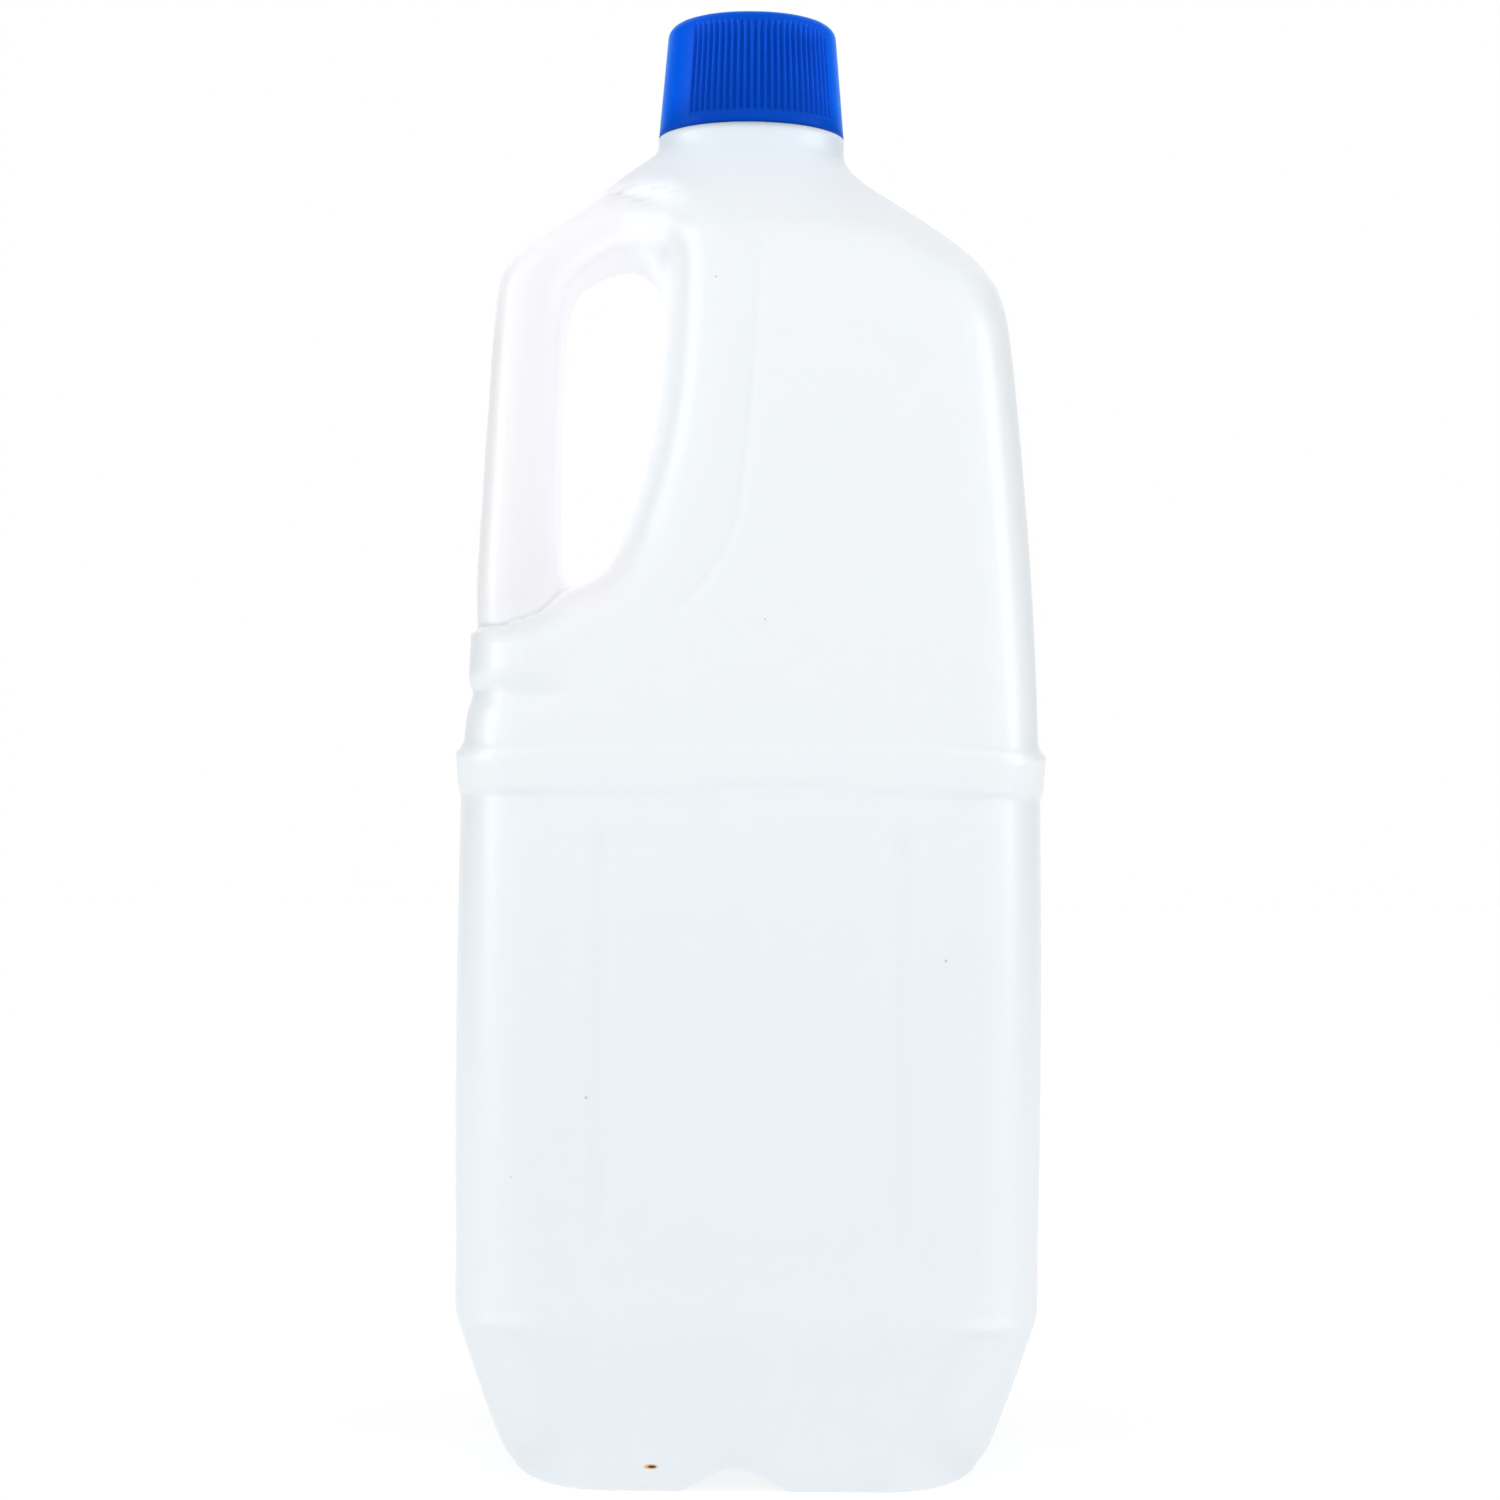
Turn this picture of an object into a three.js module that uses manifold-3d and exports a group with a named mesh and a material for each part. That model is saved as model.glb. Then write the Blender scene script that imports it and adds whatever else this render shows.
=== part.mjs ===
// A two litre bottle of distilled water: a blow-moulded bottle with a hollow side handle, the water
// in it and a ribbed screw cap. Millimetres, +Z up, the front faces -Y and the handle is on -X.
// The two mould halves meet in the plane y = 0, so each half of the bottle is a height field: a
// half depth for every point (x, z) inside the bottle's side outline.
import * as THREE from "three";
import { mergeVertices } from "three/addons/utils/BufferGeometryUtils.js";
import Module from "manifold-3d";

const wasm = await Module();
wasm.setup();

// Overall sizes
const BOTTLE_HALF_WIDTH = 60.9;
const BOTTLE_HALF_DEPTH = 40.5;
const WALL = 1.2;
const GAP = 0.3;
const WATER_LEVEL = 270;

// Heights, from the table up
const Z_FOOT_ROUND = 2;
const Z_TAPER_TOP = 32.5;
const Z_RIDGE = [30.5, 40];
const Z_BELT = [141.8, 148.6];
const Z_GROOVE = 160;
const Z_SHOULDER = 256;
const Z_COLLAR = 276.5;
const Z_RIM = 302.1;

// Relief of the body, and how it is drawn in to the feet
const RIDGE_HEIGHT = 0.2;
const BELT_HEIGHT = 0.7;
const GROOVE_DEPTH = 0.9;
const BULGE = 0.6;
const TAPER_SLOPE = 0.335;
const DEPTH_TAPER_SHARE = 0.47;
const FOOT_ROUND = 4;

// Neck and cap, round about an axis a little left of the body's middle
const NECK_X = -1;
const COLLAR_R = 19.8;
const NECK_R = 17.4;
const BORE_R = 15.9;
const CAP = { bottom: 279.8, top: 304.9, foot: 20.6, skirt: 20.1, crown: 19, edge: 3.2, roof: 2.2 };
const RIBS = { count: 96, depth: 0.4 };

// Handle: the middle line of the grip as [x, z, half width, half depth]. It ends in a soft ring
// that runs over the shoulder beside the finger hole.
const GRIP = [
  [-50.4, 168, 8.6, 13],
  [-50.2, 184, 8.5, 13],
  [-49.4, 205, 8.2, 13],
  [-48.4, 232, 7.6, 13],
  [-47.2, 246, 7.5, 13],
  [-40.6, 254.4, 7.4, 13.5],
  [-30.5, 259.6, 7.2, 16],
  [-21.5, 259.8, 7, 20],
  [-14.6, 255, 7.4, 28],
  [-12.6, 247, 6.6, 31],
];
const OVAL = { share: 2.4, root: 1 / 2.2 };
const WEB = { half: 2.8, blend: 3 };

// Finger hole, anticlockwise from its lowest point
const HOLE = [
  [-37.2, 184], [-31.6, 186.8], [-27.4, 193.2], [-23.2, 206.5], [-20.2, 222], [-19.1, 236],
  [-19.7, 245.6], [-22.4, 251.5], [-27, 253.4], [-33.2, 251.3], [-38.4, 246.8], [-40.4, 238],
  [-41.2, 213], [-40.9, 192], [-39.9, 186.2],
];

// Foot channel across the base, and the flutes at each side of the bare label panel
const CHANNEL = { x: -2.1, half: 11.8, height: 4.4 };
const FLUTE = { x: 30.5, low: 46.2, high: 133, width: 7.2, depth: 0.9 };

const clamp = (v, lo = 0, hi = 1) => Math.min(hi, Math.max(lo, v));
const smooth = (v, lo, hi) => {
  const t = clamp((v - lo) / (hi - lo));
  return t * t * (3 - 2 * t);
};
const mix = (a, b, t) => a + (b - a) * t;

// A value that changes along z, straight between its stations [z, value].
function along(stations) {
  return (z) => {
    const last = stations.length - 1;
    if (z <= stations[0][0]) return stations[0][1];
    for (let i = 0; i < last; i++) {
      const [z0, v0] = stations[i];
      const [z1, v1] = stations[i + 1];
      if (z <= z1) return mix(v0, v1, (z - z0) / (z1 - z0));
    }
    return stations[last][1];
  };
}

// An outline drawn as a path of x against z, read back as x at a height.
function outline(path) {
  const points = path.getPoints(10).map((p) => [p.y, p.x]);
  points.sort((a, b) => a[0] - b[0]);
  return along(points);
}

// The raised belt and ridge run all round the body, faint in front; the groove marks the handle's side.
const atSides = (x) => mix(0.35, 1, smooth(Math.abs(x), 34, 50));
function relief(x, z) {
  const belt = smooth(z, Z_BELT[0] - 1.2, Z_BELT[0]) - smooth(z, Z_BELT[1], Z_BELT[1] + 1.4);
  const ridge = smooth(z, Z_RIDGE[0] - 5, Z_RIDGE[0] + 2) - smooth(z, Z_RIDGE[1] - 2, Z_RIDGE[1] + 5);
  const bulge = Math.sin(Math.PI * clamp((z - Z_RIDGE[1]) / (Z_BELT[0] - Z_RIDGE[1])));
  return (BELT_HEIGHT * belt + RIDGE_HEIGHT * ridge) * atSides(x) + BULGE * bulge;
}
const groove = (z) => GROOVE_DEPTH * (smooth(z, Z_GROOVE - 2.6, Z_GROOVE) - smooth(z, Z_GROOVE, Z_GROOVE + 2.6));

// How far the lower end is drawn in: a straight taper with a soft start, and a rounded foot.
const TAPER_SOFTNESS = 3;
function drawIn(z) {
  const taper = 0.5 * TAPER_SLOPE * (Math.hypot(Z_TAPER_TOP - z, TAPER_SOFTNESS) + Z_TAPER_TOP - z);
  const t = clamp((Z_FOOT_ROUND - z) / Z_FOOT_ROUND);
  return taper + FOOT_ROUND * (1 - Math.sqrt(1 - t * t));
}

const rightUpper = outline(
  new THREE.Path()
    .moveTo(COLLAR_R + NECK_X, Z_COLLAR + 4)
    .lineTo(COLLAR_R + NECK_X, Z_COLLAR)
    .quadraticCurveTo(19.2, 273.4, 24.7, 269.5)
    .lineTo(40.4, 259.4)
    .quadraticCurveTo(50.8, 252.8, 53.2, 237.5)
    .quadraticCurveTo(56.6, 207, 58.8, 176)
    .quadraticCurveTo(59.6, 163, BOTTLE_HALF_WIDTH - 0.9, 150),
);
const leftUpper = outline(
  new THREE.Path()
    .moveTo(COLLAR_R - NECK_X, Z_COLLAR + 4)
    .lineTo(COLLAR_R - NECK_X, Z_COLLAR + 1)
    .quadraticCurveTo(31.2, 270.9, 33, 266.6)
    .lineTo(34.6, 265.4)
    .lineTo(47.6, 257.8)
    .quadraticCurveTo(54.4, 253.6, 55, 246)
    .quadraticCurveTo(57.6, 205, 59.1, 172)
    .quadraticCurveTo(59.6, 160, BOTTLE_HALF_WIDTH - 0.9, 150),
);
const upperBlend = (z) => smooth(z, 148.6, 151);
const lowerWidth = (z) => BOTTLE_HALF_WIDTH - drawIn(z);
const atEdge = (z) => relief(BOTTLE_HALF_WIDTH, z);
const right = (z) => mix(lowerWidth(z), rightUpper(z), upperBlend(z)) + atEdge(z);
const left = (z) => -mix(lowerWidth(z), leftUpper(z), upperBlend(z)) - atEdge(z) + groove(z);

// Half depth in the middle of the front, and how it falls away over the sloping shoulder.
const middleDepth = along([
  [0, BOTTLE_HALF_DEPTH],
  [150, BOTTLE_HALF_DEPTH - 0.4],
  [200, BOTTLE_HALF_DEPTH - 1.6],
  [236, BOTTLE_HALF_DEPTH - 3.9],
  [249, BOTTLE_HALF_DEPTH - 5.6],
  [Z_SHOULDER, BOTTLE_HALF_DEPTH - 7.2],
  [260, 30.3],
  [266, 25.9],
  [270, 23.1],
  [273.5, 20.9],
  [Z_COLLAR, COLLAR_R],
]);
const SHOULDER_BREAK = 27;
const SHOULDER_FALL = 0.62;
function bodyDepth(x, z) {
  const drop = SHOULDER_FALL * Math.max(0, Math.abs(x) - SHOULDER_BREAK) * smooth(z, 232, Z_SHOULDER);
  const crown = (x / BOTTLE_HALF_WIDTH) ** 2 * (1 - smooth(z, 240, Z_COLLAR));
  const taper = DEPTH_TAPER_SHARE * drawIn(z);
  return middleDepth(Math.min(z + drop, Z_COLLAR)) - crown - taper + relief(x, z);
}

// Heights of the rows, as [from, to, steps]: close where the side has relief and round the grip's ends.
const STRETCHES = [
  [0, 2, 3], [2, Z_TAPER_TOP, 3], [Z_TAPER_TOP, 44, 5], [44, 140.6, 5], [140.6, 141.8, 1], [141.8, 148.6, 1],
  [148.6, 150.6, 1], [150.6, 166, 6], [166, 186, 9], [186, 240, 9], [240, 270, 13], [270, Z_COLLAR, 3],
  [Z_COLLAR, 278.8, 1],
];
function rowsBetween(low, high, share = 1) {
  const rows = STRETCHES.flatMap(([a, b, n]) => {
    const steps = Math.max(1, Math.round(n * share));
    return Array.from({ length: steps }, (_, i) => mix(a, b, i / steps));
  });
  return [low, ...rows.filter((z) => z > low + 0.3 && z < high - 0.5), high];
}

// The edges that the body's front rolls down to, as [x, z, corner width]: at the right the outline,
// and at the left the outline, the shelf under the grip, the hole's near edge and the shoulder lobe.
const cornerWidth = along([
  [0, 14.5], [141, 14.5], [150, 12.5], [236, 12.5], [252, 15], [266, 17.5], [Z_COLLAR, COLLAR_R], [290, COLLAR_R],
]);
const Z_SHELF = 176.5;
const Z_LOBE = 267;
const edgeOf = (side, low, high) => rowsBetween(low, high).map((z) => [side(z), z, cornerWidth(z)]);
const NEAR_EDGE_WIDTHS = [10, 11.5, 12.5, 13, 13, 13, 13];
const EDGES = [
  edgeOf(right, 0, 280),
  [
    ...edgeOf(left, 0, Z_SHELF),
    [-51, Z_SHELF + 1.3, 7],
    [-43, Z_SHELF + 4.1, 8.5],
    ...NEAR_EDGE_WIDTHS.map((width, i) => [...HOLE[i], width]),
    [-20, 251.5, 13],
    [-21.6, 257.5, 13],
    [-25.6, 262.4, 13.5],
    [left(Z_LOBE), Z_LOBE, 15],
    ...edgeOf(left, Z_LOBE + 1.5, 280),
  ],
];

// Distance of a point to a line from a to b, and how far along it the nearest point is.
function toLine(x, z, a, b) {
  const [dx, dz] = [b[0] - a[0], b[1] - a[1]];
  const t = clamp(((x - a[0]) * dx + (z - a[1]) * dz) / (dx * dx + dz * dz));
  return [Math.hypot(x - a[0] - t * dx, z - a[1] - t * dz), t];
}

// The plan is a rounded box: from each edge a slightly bowed side wall rises to the corner's depth,
// and a quarter oval turns from there into the front. At the neck both become one circle.
const cornerDepthAt = along([[0, 27], [141, 27], [150, 20], [236, 20], [Z_COLLAR, COLLAR_R]]);
const sideBow = along([[0, 3.2], [141, 3.2], [150, 2]]);
const HOLE_BOW = 3.5;
const HOLE_SIDE = { right: -5, low: Z_SHELF - 12 };
const Z_TO_NECK = 236;
const quarterOval = (share) => Math.sqrt(1 - (1 - share) ** 2);
function bodyHeight(x, z) {
  const leftEdge = EDGES[1];
  if (!insideEdges(x, z, leftEdge)) return 0;
  let nearest = Infinity;
  let corner = 1;
  for (const edge of EDGES) {
    for (let i = 0; i + 1 < edge.length; i++) {
      const [distance, t] = toLine(x, z, edge[i], edge[i + 1]);
      nearest = Math.min(nearest, distance);
      corner = Math.min(corner, distance / mix(edge[i][2], edge[i + 1][2], t));
    }
  }
  const bow = x < HOLE_SIDE.right && z > HOLE_SIDE.low ? HOLE_BOW : sideBow(z);
  const depth = bodyDepth(x, z);
  const cornerDepth = mix(cornerDepthAt(z), depth, smooth(z, Z_TO_NECK, Z_COLLAR));
  return (depth - cornerDepth) * quarterOval(Math.min(1, nearest / bow)) + cornerDepth * quarterOval(corner);
}

// Whether a point is on the body's side of its left edge, which doubles back under the grip.
function insideEdges(x, z, edge) {
  let crossings = 0;
  for (let i = 0; i + 1 < edge.length; i++) {
    const [a, b] = [edge[i], edge[i + 1]];
    if (a[1] > z === b[1] > z) continue;
    if (x > a[0] + ((z - a[1]) / (b[1] - a[1])) * (b[0] - a[0])) crossings++;
  }
  return crossings % 2 === 1 || z <= 0;
}

// The hollow handle is a tube of oval section round its middle line.
function gripHeight(x, z) {
  let height = 0;
  for (let i = 0; i + 1 < GRIP.length; i++) {
    const [distance, t] = toLine(x, z, GRIP[i], GRIP[i + 1]);
    const share = clamp(distance / mix(GRIP[i][2], GRIP[i + 1][2], t));
    const oval = (1 - share ** OVAL.share) ** OVAL.root;
    height = Math.max(height, mix(GRIP[i][3], GRIP[i + 1][3], t) * oval);
  }
  return height;
}
// A thin web closes the finger hole in the loft, and the hole is then cut through it.
const webShare = (x, z) => smooth(Math.min(right(z) - x, x - left(z)), 0, WEB.blend);
const halfDepth = (x, z) => Math.max(bodyHeight(x, z), gripHeight(x, z), WEB.half * webShare(x, z));

// The half depth a given distance inside the surface: the lowest that a ball of that radius leaves.
// The wall is thicker where the handle is welded to the body.
const nearShelf = (z) => smooth(z, 160, 168) * (1 - smooth(z, 188, 200));
const nearLobe = (z) => smooth(z, 240, 250) * (1 - smooth(z, 272, 276));
const thickening = (x, z) => 1 + Math.max(nearShelf(z), nearLobe(z)) * smooth(-x, 5, 15);
const TURNS = Array.from({ length: 8 }, (_, i) => (i * Math.PI) / 4);
function insetDepth(x, z, wall) {
  if (wall === 0) return halfDepth(x, z);
  const inset = wall * thickening(x, z);
  let lowest = halfDepth(x, z) - inset;
  for (const turn of TURNS) {
    for (const reach of [0.7, 1]) {
      const around = halfDepth(x + reach * inset * Math.cos(turn), z + reach * inset * Math.sin(turn));
      lowest = Math.min(lowest, around - inset * Math.sqrt(1 - reach * reach));
    }
  }
  return lowest;
}

// Columns of the surface at each height: they gather at the sides, along the grip and the hole.
const GUIDES = [
  [0, -31, -22, -12, 31],
  [2, -36, -25, -12, 36],
  [30, -46, -30, -14, 46],
  [140, -46, -30, -14, 46],
  [172, -43, -36, -10, 45],
  [186, -40.5, -34, -5, 44],
  [196, -41, -26.5, -3, 43],
  [226, -41, -19.9, 0, 40],
  [242, -40, -19.1, 1, 38],
  [252, -35, -24.5, -2, 34],
  [258, -31, -23, -4, 27],
  [268, -20, -12, -4, 12],
  [280, -14, -8, -3, 12],
];
const guide = [1, 2, 3, 4].map((k) => along(GUIDES.map((row) => [row[0], row[k]])));
const SPREAD = {
  edge: (n) => Array.from({ length: n }, (_, i) => 1 - Math.cos((i * Math.PI) / (2 * n))),
  even: (n) => Array.from({ length: n }, (_, i) => i / n),
};
function columns(z, inset, detail) {
  const slope = (side) => Math.min(2.2, Math.hypot(1, (side(z + 0.5) - side(z - 0.5)) / 1));
  const ends = [left(z) + inset * slope(left), right(z) - inset * slope(right)];
  const stops = [ends[0], ...guide.map((g) => g(z)), ends[1]];
  const spans = [
    SPREAD.edge(detail),
    SPREAD.even(2),
    SPREAD.edge(detail - 1),
    SPREAD.even(detail - 2),
    SPREAD.edge(detail).map((t) => 1 - t).reverse(),
  ];
  const xs = spans.flatMap((shares, k) => shares.filter((t) => t < 1).map((t) => mix(stops[k], stops[k + 1], t)));
  return [...xs, ends[1]].sort((a, b) => a - b).filter((x, i, all) => i === 0 || x - all[i - 1] > 1e-6);
}

// A closed solid from rows of the height field: a front and a back sheet that share their side edges.
function loft(rows, inset, detail) {
  const vertices = [];
  const faces = [];
  const rings = rows.map((z) => {
    const xs = columns(z, inset, detail);
    const depths = xs.map((x, i) => (i === 0 || i === xs.length - 1 ? 0 : Math.max(0.35, insetDepth(x, z, inset))));
    const start = vertices.length / 3;
    xs.forEach((x, i) => vertices.push(x, -depths[i], z));
    for (let i = xs.length - 2; i > 0; i--) vertices.push(xs[i], depths[i], z);
    return { start, count: 2 * xs.length - 2 };
  });
  const { count } = rings[0];
  for (let r = 0; r + 1 < rings.length; r++) {
    for (let i = 0; i < count; i++) {
      const j = (i + 1) % count;
      const [a, b] = [rings[r].start + i, rings[r].start + j];
      const [c, d] = [rings[r + 1].start + i, rings[r + 1].start + j];
      faces.push(a, b, d, a, d, c);
    }
  }
  const lid = (start, up) => {
    for (let i = 0; i < count / 2; i++) {
      const [a, b] = [start + i, start + i + 1];
      const [c, d] = [start + ((count - i) % count), start + ((count - i - 1) % count)];
      const quad = up ? [[a, b, d], [a, d, c]] : [[a, d, b], [a, c, d]];
      for (const t of quad) if (new Set(t).size === 3) faces.push(...t);
    }
  };
  lid(rings[0].start, false);
  lid(rings[rings.length - 1].start, true);
  return new wasm.Manifold(
    new wasm.Mesh({ numProp: 3, vertProperties: new Float32Array(vertices), triVerts: new Uint32Array(faces) }),
  );
}

// three.js geometry to a solid and back.
function solidOf(geometry) {
  geometry.deleteAttribute("normal");
  geometry.deleteAttribute("uv");
  const merged = mergeVertices(geometry, 1e-4);
  return new wasm.Manifold(
    new wasm.Mesh({
      numProp: 3,
      vertProperties: merged.attributes.position.array,
      triVerts: new Uint32Array(merged.index.array),
    }),
  );
}
function geometryOf(solid) {
  const mesh = solid.getMesh();
  const geometry = new THREE.BufferGeometry();
  geometry.setAttribute("position", new THREE.BufferAttribute(mesh.vertProperties, 3));
  geometry.setIndex(new THREE.BufferAttribute(mesh.triVerts, 1));
  return geometry.toNonIndexed();
}

// A solid of revolution about the neck's axis, from a profile of [radius, z].
function turned(profile, sides) {
  const points = profile.map(([r, z]) => new THREE.Vector2(r, z));
  return solidOf(new THREE.LatheGeometry(points, sides).rotateX(Math.PI / 2).translate(NECK_X, 0, 0));
}

// A bar through the bottle from front to back, with an outline in x and z.
function throughBar(shape, curveSegments) {
  const length = 3 * BOTTLE_HALF_DEPTH;
  const bar = new THREE.ExtrudeGeometry(shape, { depth: length, bevelEnabled: false, curveSegments });
  return solidOf(bar.rotateX(Math.PI / 2).translate(0, length / 2, 0));
}

function fingerHole(grow) {
  const middle = new THREE.Vector2(-31.5, 219);
  const points = HOLE.map(([x, z]) => new THREE.Vector2(x, z));
  const curve = new THREE.CatmullRomCurve3(points.map((p) => new THREE.Vector3(p.x, p.y, 0)), true);
  const ring = curve.getPoints(36).slice(0, -1).map((p, i, all) => {
    const next = all[(i + 1) % all.length];
    const previous = all[(i + all.length - 1) % all.length];
    const tangent = new THREE.Vector2(next.x - previous.x, next.y - previous.y).normalize();
    const away = new THREE.Vector2(tangent.y, -tangent.x);
    if (away.dot(new THREE.Vector2(p.x - middle.x, p.y - middle.y)) < 0) away.negate();
    return new THREE.Vector2(p.x, p.y).addScaledVector(away, grow);
  });
  return throughBar(new THREE.Shape(ring), 1);
}

// The channel's arch is a bell: the pull of its curves is the same at the foot and at the top.
const ARCH_PULL = 5.2;
function footChannel(grow) {
  const [half, height] = [CHANNEL.half + grow, CHANNEL.height + grow];
  const shape = new THREE.Shape()
    .moveTo(CHANNEL.x - half, -5)
    .lineTo(CHANNEL.x + half, -5)
    .lineTo(CHANNEL.x + half, 0)
    .bezierCurveTo(CHANNEL.x + half - ARCH_PULL, 0, CHANNEL.x + ARCH_PULL, height, CHANNEL.x, height)
    .bezierCurveTo(CHANNEL.x - ARCH_PULL, height, CHANNEL.x - half + ARCH_PULL, 0, CHANNEL.x - half, 0)
    .closePath();
  return throughBar(shape, 5);
}

function flute(side, face, grow) {
  const radius = FLUTE.width ** 2 / (8 * FLUTE.depth) + FLUTE.depth / 2;
  const length = FLUTE.high - FLUTE.low - FLUTE.width;
  const surface = halfDepth(FLUTE.x, (FLUTE.low + FLUTE.high) / 2);
  const bar = new THREE.CapsuleGeometry(radius + grow, length, 5, 28).rotateX(Math.PI / 2);
  const y = face * (surface + radius - FLUTE.depth);
  return solidOf(bar.translate(side * FLUTE.x, y, (FLUTE.low + FLUTE.high) / 2));
}

// Everything that is cut from the plain loft; grown by the wall, the same cutters shape the inside.
function cutters(grow) {
  const flutes = [[-1, -1], [1, -1], [-1, 1], [1, 1]].map(([side, face]) => flute(side, face, grow));
  return [fingerHole(grow > 0 ? grow + 1.2 : 0), footChannel(grow), ...flutes];
}
const cutBy = (solid, tools) => tools.reduce((rest, tool) => rest.subtract(tool), solid);

// The inside is lofted with this share of the outside's rows.
const INNER_ROWS = 0.6;

function makeBottle() {
  const outside = loft(rowsBetween(0, 278.8), 0, 6);
  const neck = turned([[0, 270], [NECK_R, 270], [NECK_R, Z_RIM], [0, Z_RIM]], 40);
  const inside = loft(rowsBetween(WALL, 274, INNER_ROWS), WALL, 4);
  const bore = turned([[0, 262], [BORE_R, 262], [BORE_R, Z_RIM + 5], [0, Z_RIM + 5]], 40);
  return cutBy(outside.add(neck), cutters(0)).subtract(cutBy(inside, cutters(WALL)).add(bore));
}

function makeWater() {
  const inset = WALL + 2.4 * GAP;
  const column = turned([[0, 262.5], [BORE_R - GAP, 262.5], [BORE_R - GAP, WATER_LEVEL], [0, WATER_LEVEL]], 40);
  return cutBy(loft(rowsBetween(inset, WATER_LEVEL, INNER_ROWS), inset, 4), cutters(inset)).add(column);
}

// The cap: a smooth flared foot, vertical ribs between it and the rounded crown, and a bore for the neck.
function makeCap() {
  const { bottom, top, foot, skirt, crown, edge, roof } = CAP;
  const [ribLow, ribHigh] = [bottom + 2.4, top - edge];
  const profile = [
    [0, bottom], [foot, bottom], [foot, bottom + 2], [skirt, ribLow], [crown, ribHigh],
    [crown - 0.3 * edge, top - 0.3 * edge], [crown - edge, top], [0, top],
  ];
  const sides = 2 * RIBS.count;
  const outer = new THREE.LatheGeometry(profile.map(([r, z]) => new THREE.Vector2(r, z)), sides);
  const position = outer.getAttribute("position");
  for (let i = 0; i < position.count; i++) {
    const [side, row] = [Math.floor(i / profile.length), i % profile.length];
    const inRibs = row === 3 || row === 4;
    if (!inRibs || side % 2 === 0) continue;
    const shrink = 1 - RIBS.depth / profile[row][0];
    position.setXYZ(i, position.getX(i) * shrink, position.getY(i), position.getZ(i) * shrink);
  }
  const body = solidOf(outer.rotateX(Math.PI / 2).translate(NECK_X, 0, 0));
  const innerR = NECK_R + GAP + 0.1;
  return body.subtract(turned([[0, bottom - 1], [innerR, bottom - 1], [innerR, top - roof], [0, top - roof]], 48));
}

const looks = {
  bottle: new THREE.MeshStandardMaterial({ color: 0xeff4f8, roughness: 0.4, metalness: 0 }),
  water: new THREE.MeshStandardMaterial({ color: 0xe4f0f7, roughness: 0.05, metalness: 0 }),
  cap: new THREE.MeshStandardMaterial({ color: 0x0a54c8, roughness: 0.35, metalness: 0 }),
};
const group = new THREE.Group();
for (const [name, solid] of [["bottle", makeBottle()], ["water", makeWater()], ["cap", makeCap()]]) {
  const mesh = new THREE.Mesh(geometryOf(solid), looks[name]);
  mesh.name = name;
  group.add(mesh);
}

export default group;
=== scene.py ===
# %% [markdown]
# A two litre bottle of distilled water
#
# The real object is three things: a bottle blow-moulded from milky polyethylene, with a hollow
# handle at its side, the water in it, and a ribbed blue screw cap. The measured model gives their
# sizes and places. Its solids could be smoothed and shown as they are, but their facets would stay
# in every highlight, so here each piece is made anew at the same size and stands for its solid.

# %% Load the measured model
import math

import bmesh
import bpy
import numpy as np
from mathutils import Matrix, Vector


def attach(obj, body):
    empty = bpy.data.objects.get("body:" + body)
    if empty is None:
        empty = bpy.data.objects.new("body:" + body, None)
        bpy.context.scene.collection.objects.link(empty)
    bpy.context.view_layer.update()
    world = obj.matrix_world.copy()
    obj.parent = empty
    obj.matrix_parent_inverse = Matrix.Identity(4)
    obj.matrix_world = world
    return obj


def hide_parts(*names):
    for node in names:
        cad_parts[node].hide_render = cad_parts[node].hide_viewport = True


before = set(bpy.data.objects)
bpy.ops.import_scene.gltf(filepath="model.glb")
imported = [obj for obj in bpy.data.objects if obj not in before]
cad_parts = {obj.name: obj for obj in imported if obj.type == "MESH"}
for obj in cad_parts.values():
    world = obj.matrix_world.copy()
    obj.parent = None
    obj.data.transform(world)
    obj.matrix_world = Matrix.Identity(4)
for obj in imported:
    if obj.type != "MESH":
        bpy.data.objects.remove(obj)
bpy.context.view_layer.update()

BODY = "root"
MM = 0.001
print("measured nodes:", sorted(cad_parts))


# %% [markdown]
# The photograph was taken from straight in front. The camera stands 0.7 m away, a little below
# the middle of the bottle, and looks very slightly up. It could track the bottle with a
# constraint, but a fixed matrix is easier to read. A long lens keeps the sides nearly parallel.
# The photograph leans by half a degree, which is a roll of the camera.

# %% Camera
CAMERA_DISTANCE = 0.700
CAMERA_HEIGHT = 0.1306
CAMERA_SIDE = -0.0002
PITCH_UP = math.radians(1.585)
ROLL = math.radians(0.48)
LENS_MM = 78.96
SENSOR_MM = 36.0
NEAREST = 0.01

camera_data = bpy.data.cameras.new("camera")
camera_data.lens = LENS_MM
camera_data.sensor_width = SENSOR_MM
camera_data.clip_start = NEAREST
camera = bpy.data.objects.new("camera", camera_data)
camera.matrix_world = (
    Matrix.Translation((CAMERA_SIDE, -CAMERA_DISTANCE, CAMERA_HEIGHT))
    @ Matrix.Rotation(math.pi / 2 + PITCH_UP, 4, "X")
    @ Matrix.Rotation(ROLL, 4, "Z")
)
bpy.context.scene.collection.objects.link(camera)
bpy.context.scene.camera = camera
print("camera at", tuple(round(v, 4) for v in camera.location))


# %% [markdown]
# The bottle is pressed by two mould halves that meet in one plane, so each half is a height field:
# every point of the front outline has one depth. A sculptor would lay a flat sheet over the mould
# and press it in. That is the way taken here: first the curves of the mould as small functions,
# then a flat grid of fine quads that those functions push into place.

# %% Helpers for curves
def ease(v, low, high):
    """0 below low, 1 above high, and a smooth step between."""
    t = np.clip((v - low) / (high - low), 0.0, 1.0)
    return t * t * (3.0 - 2.0 * t)


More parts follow.
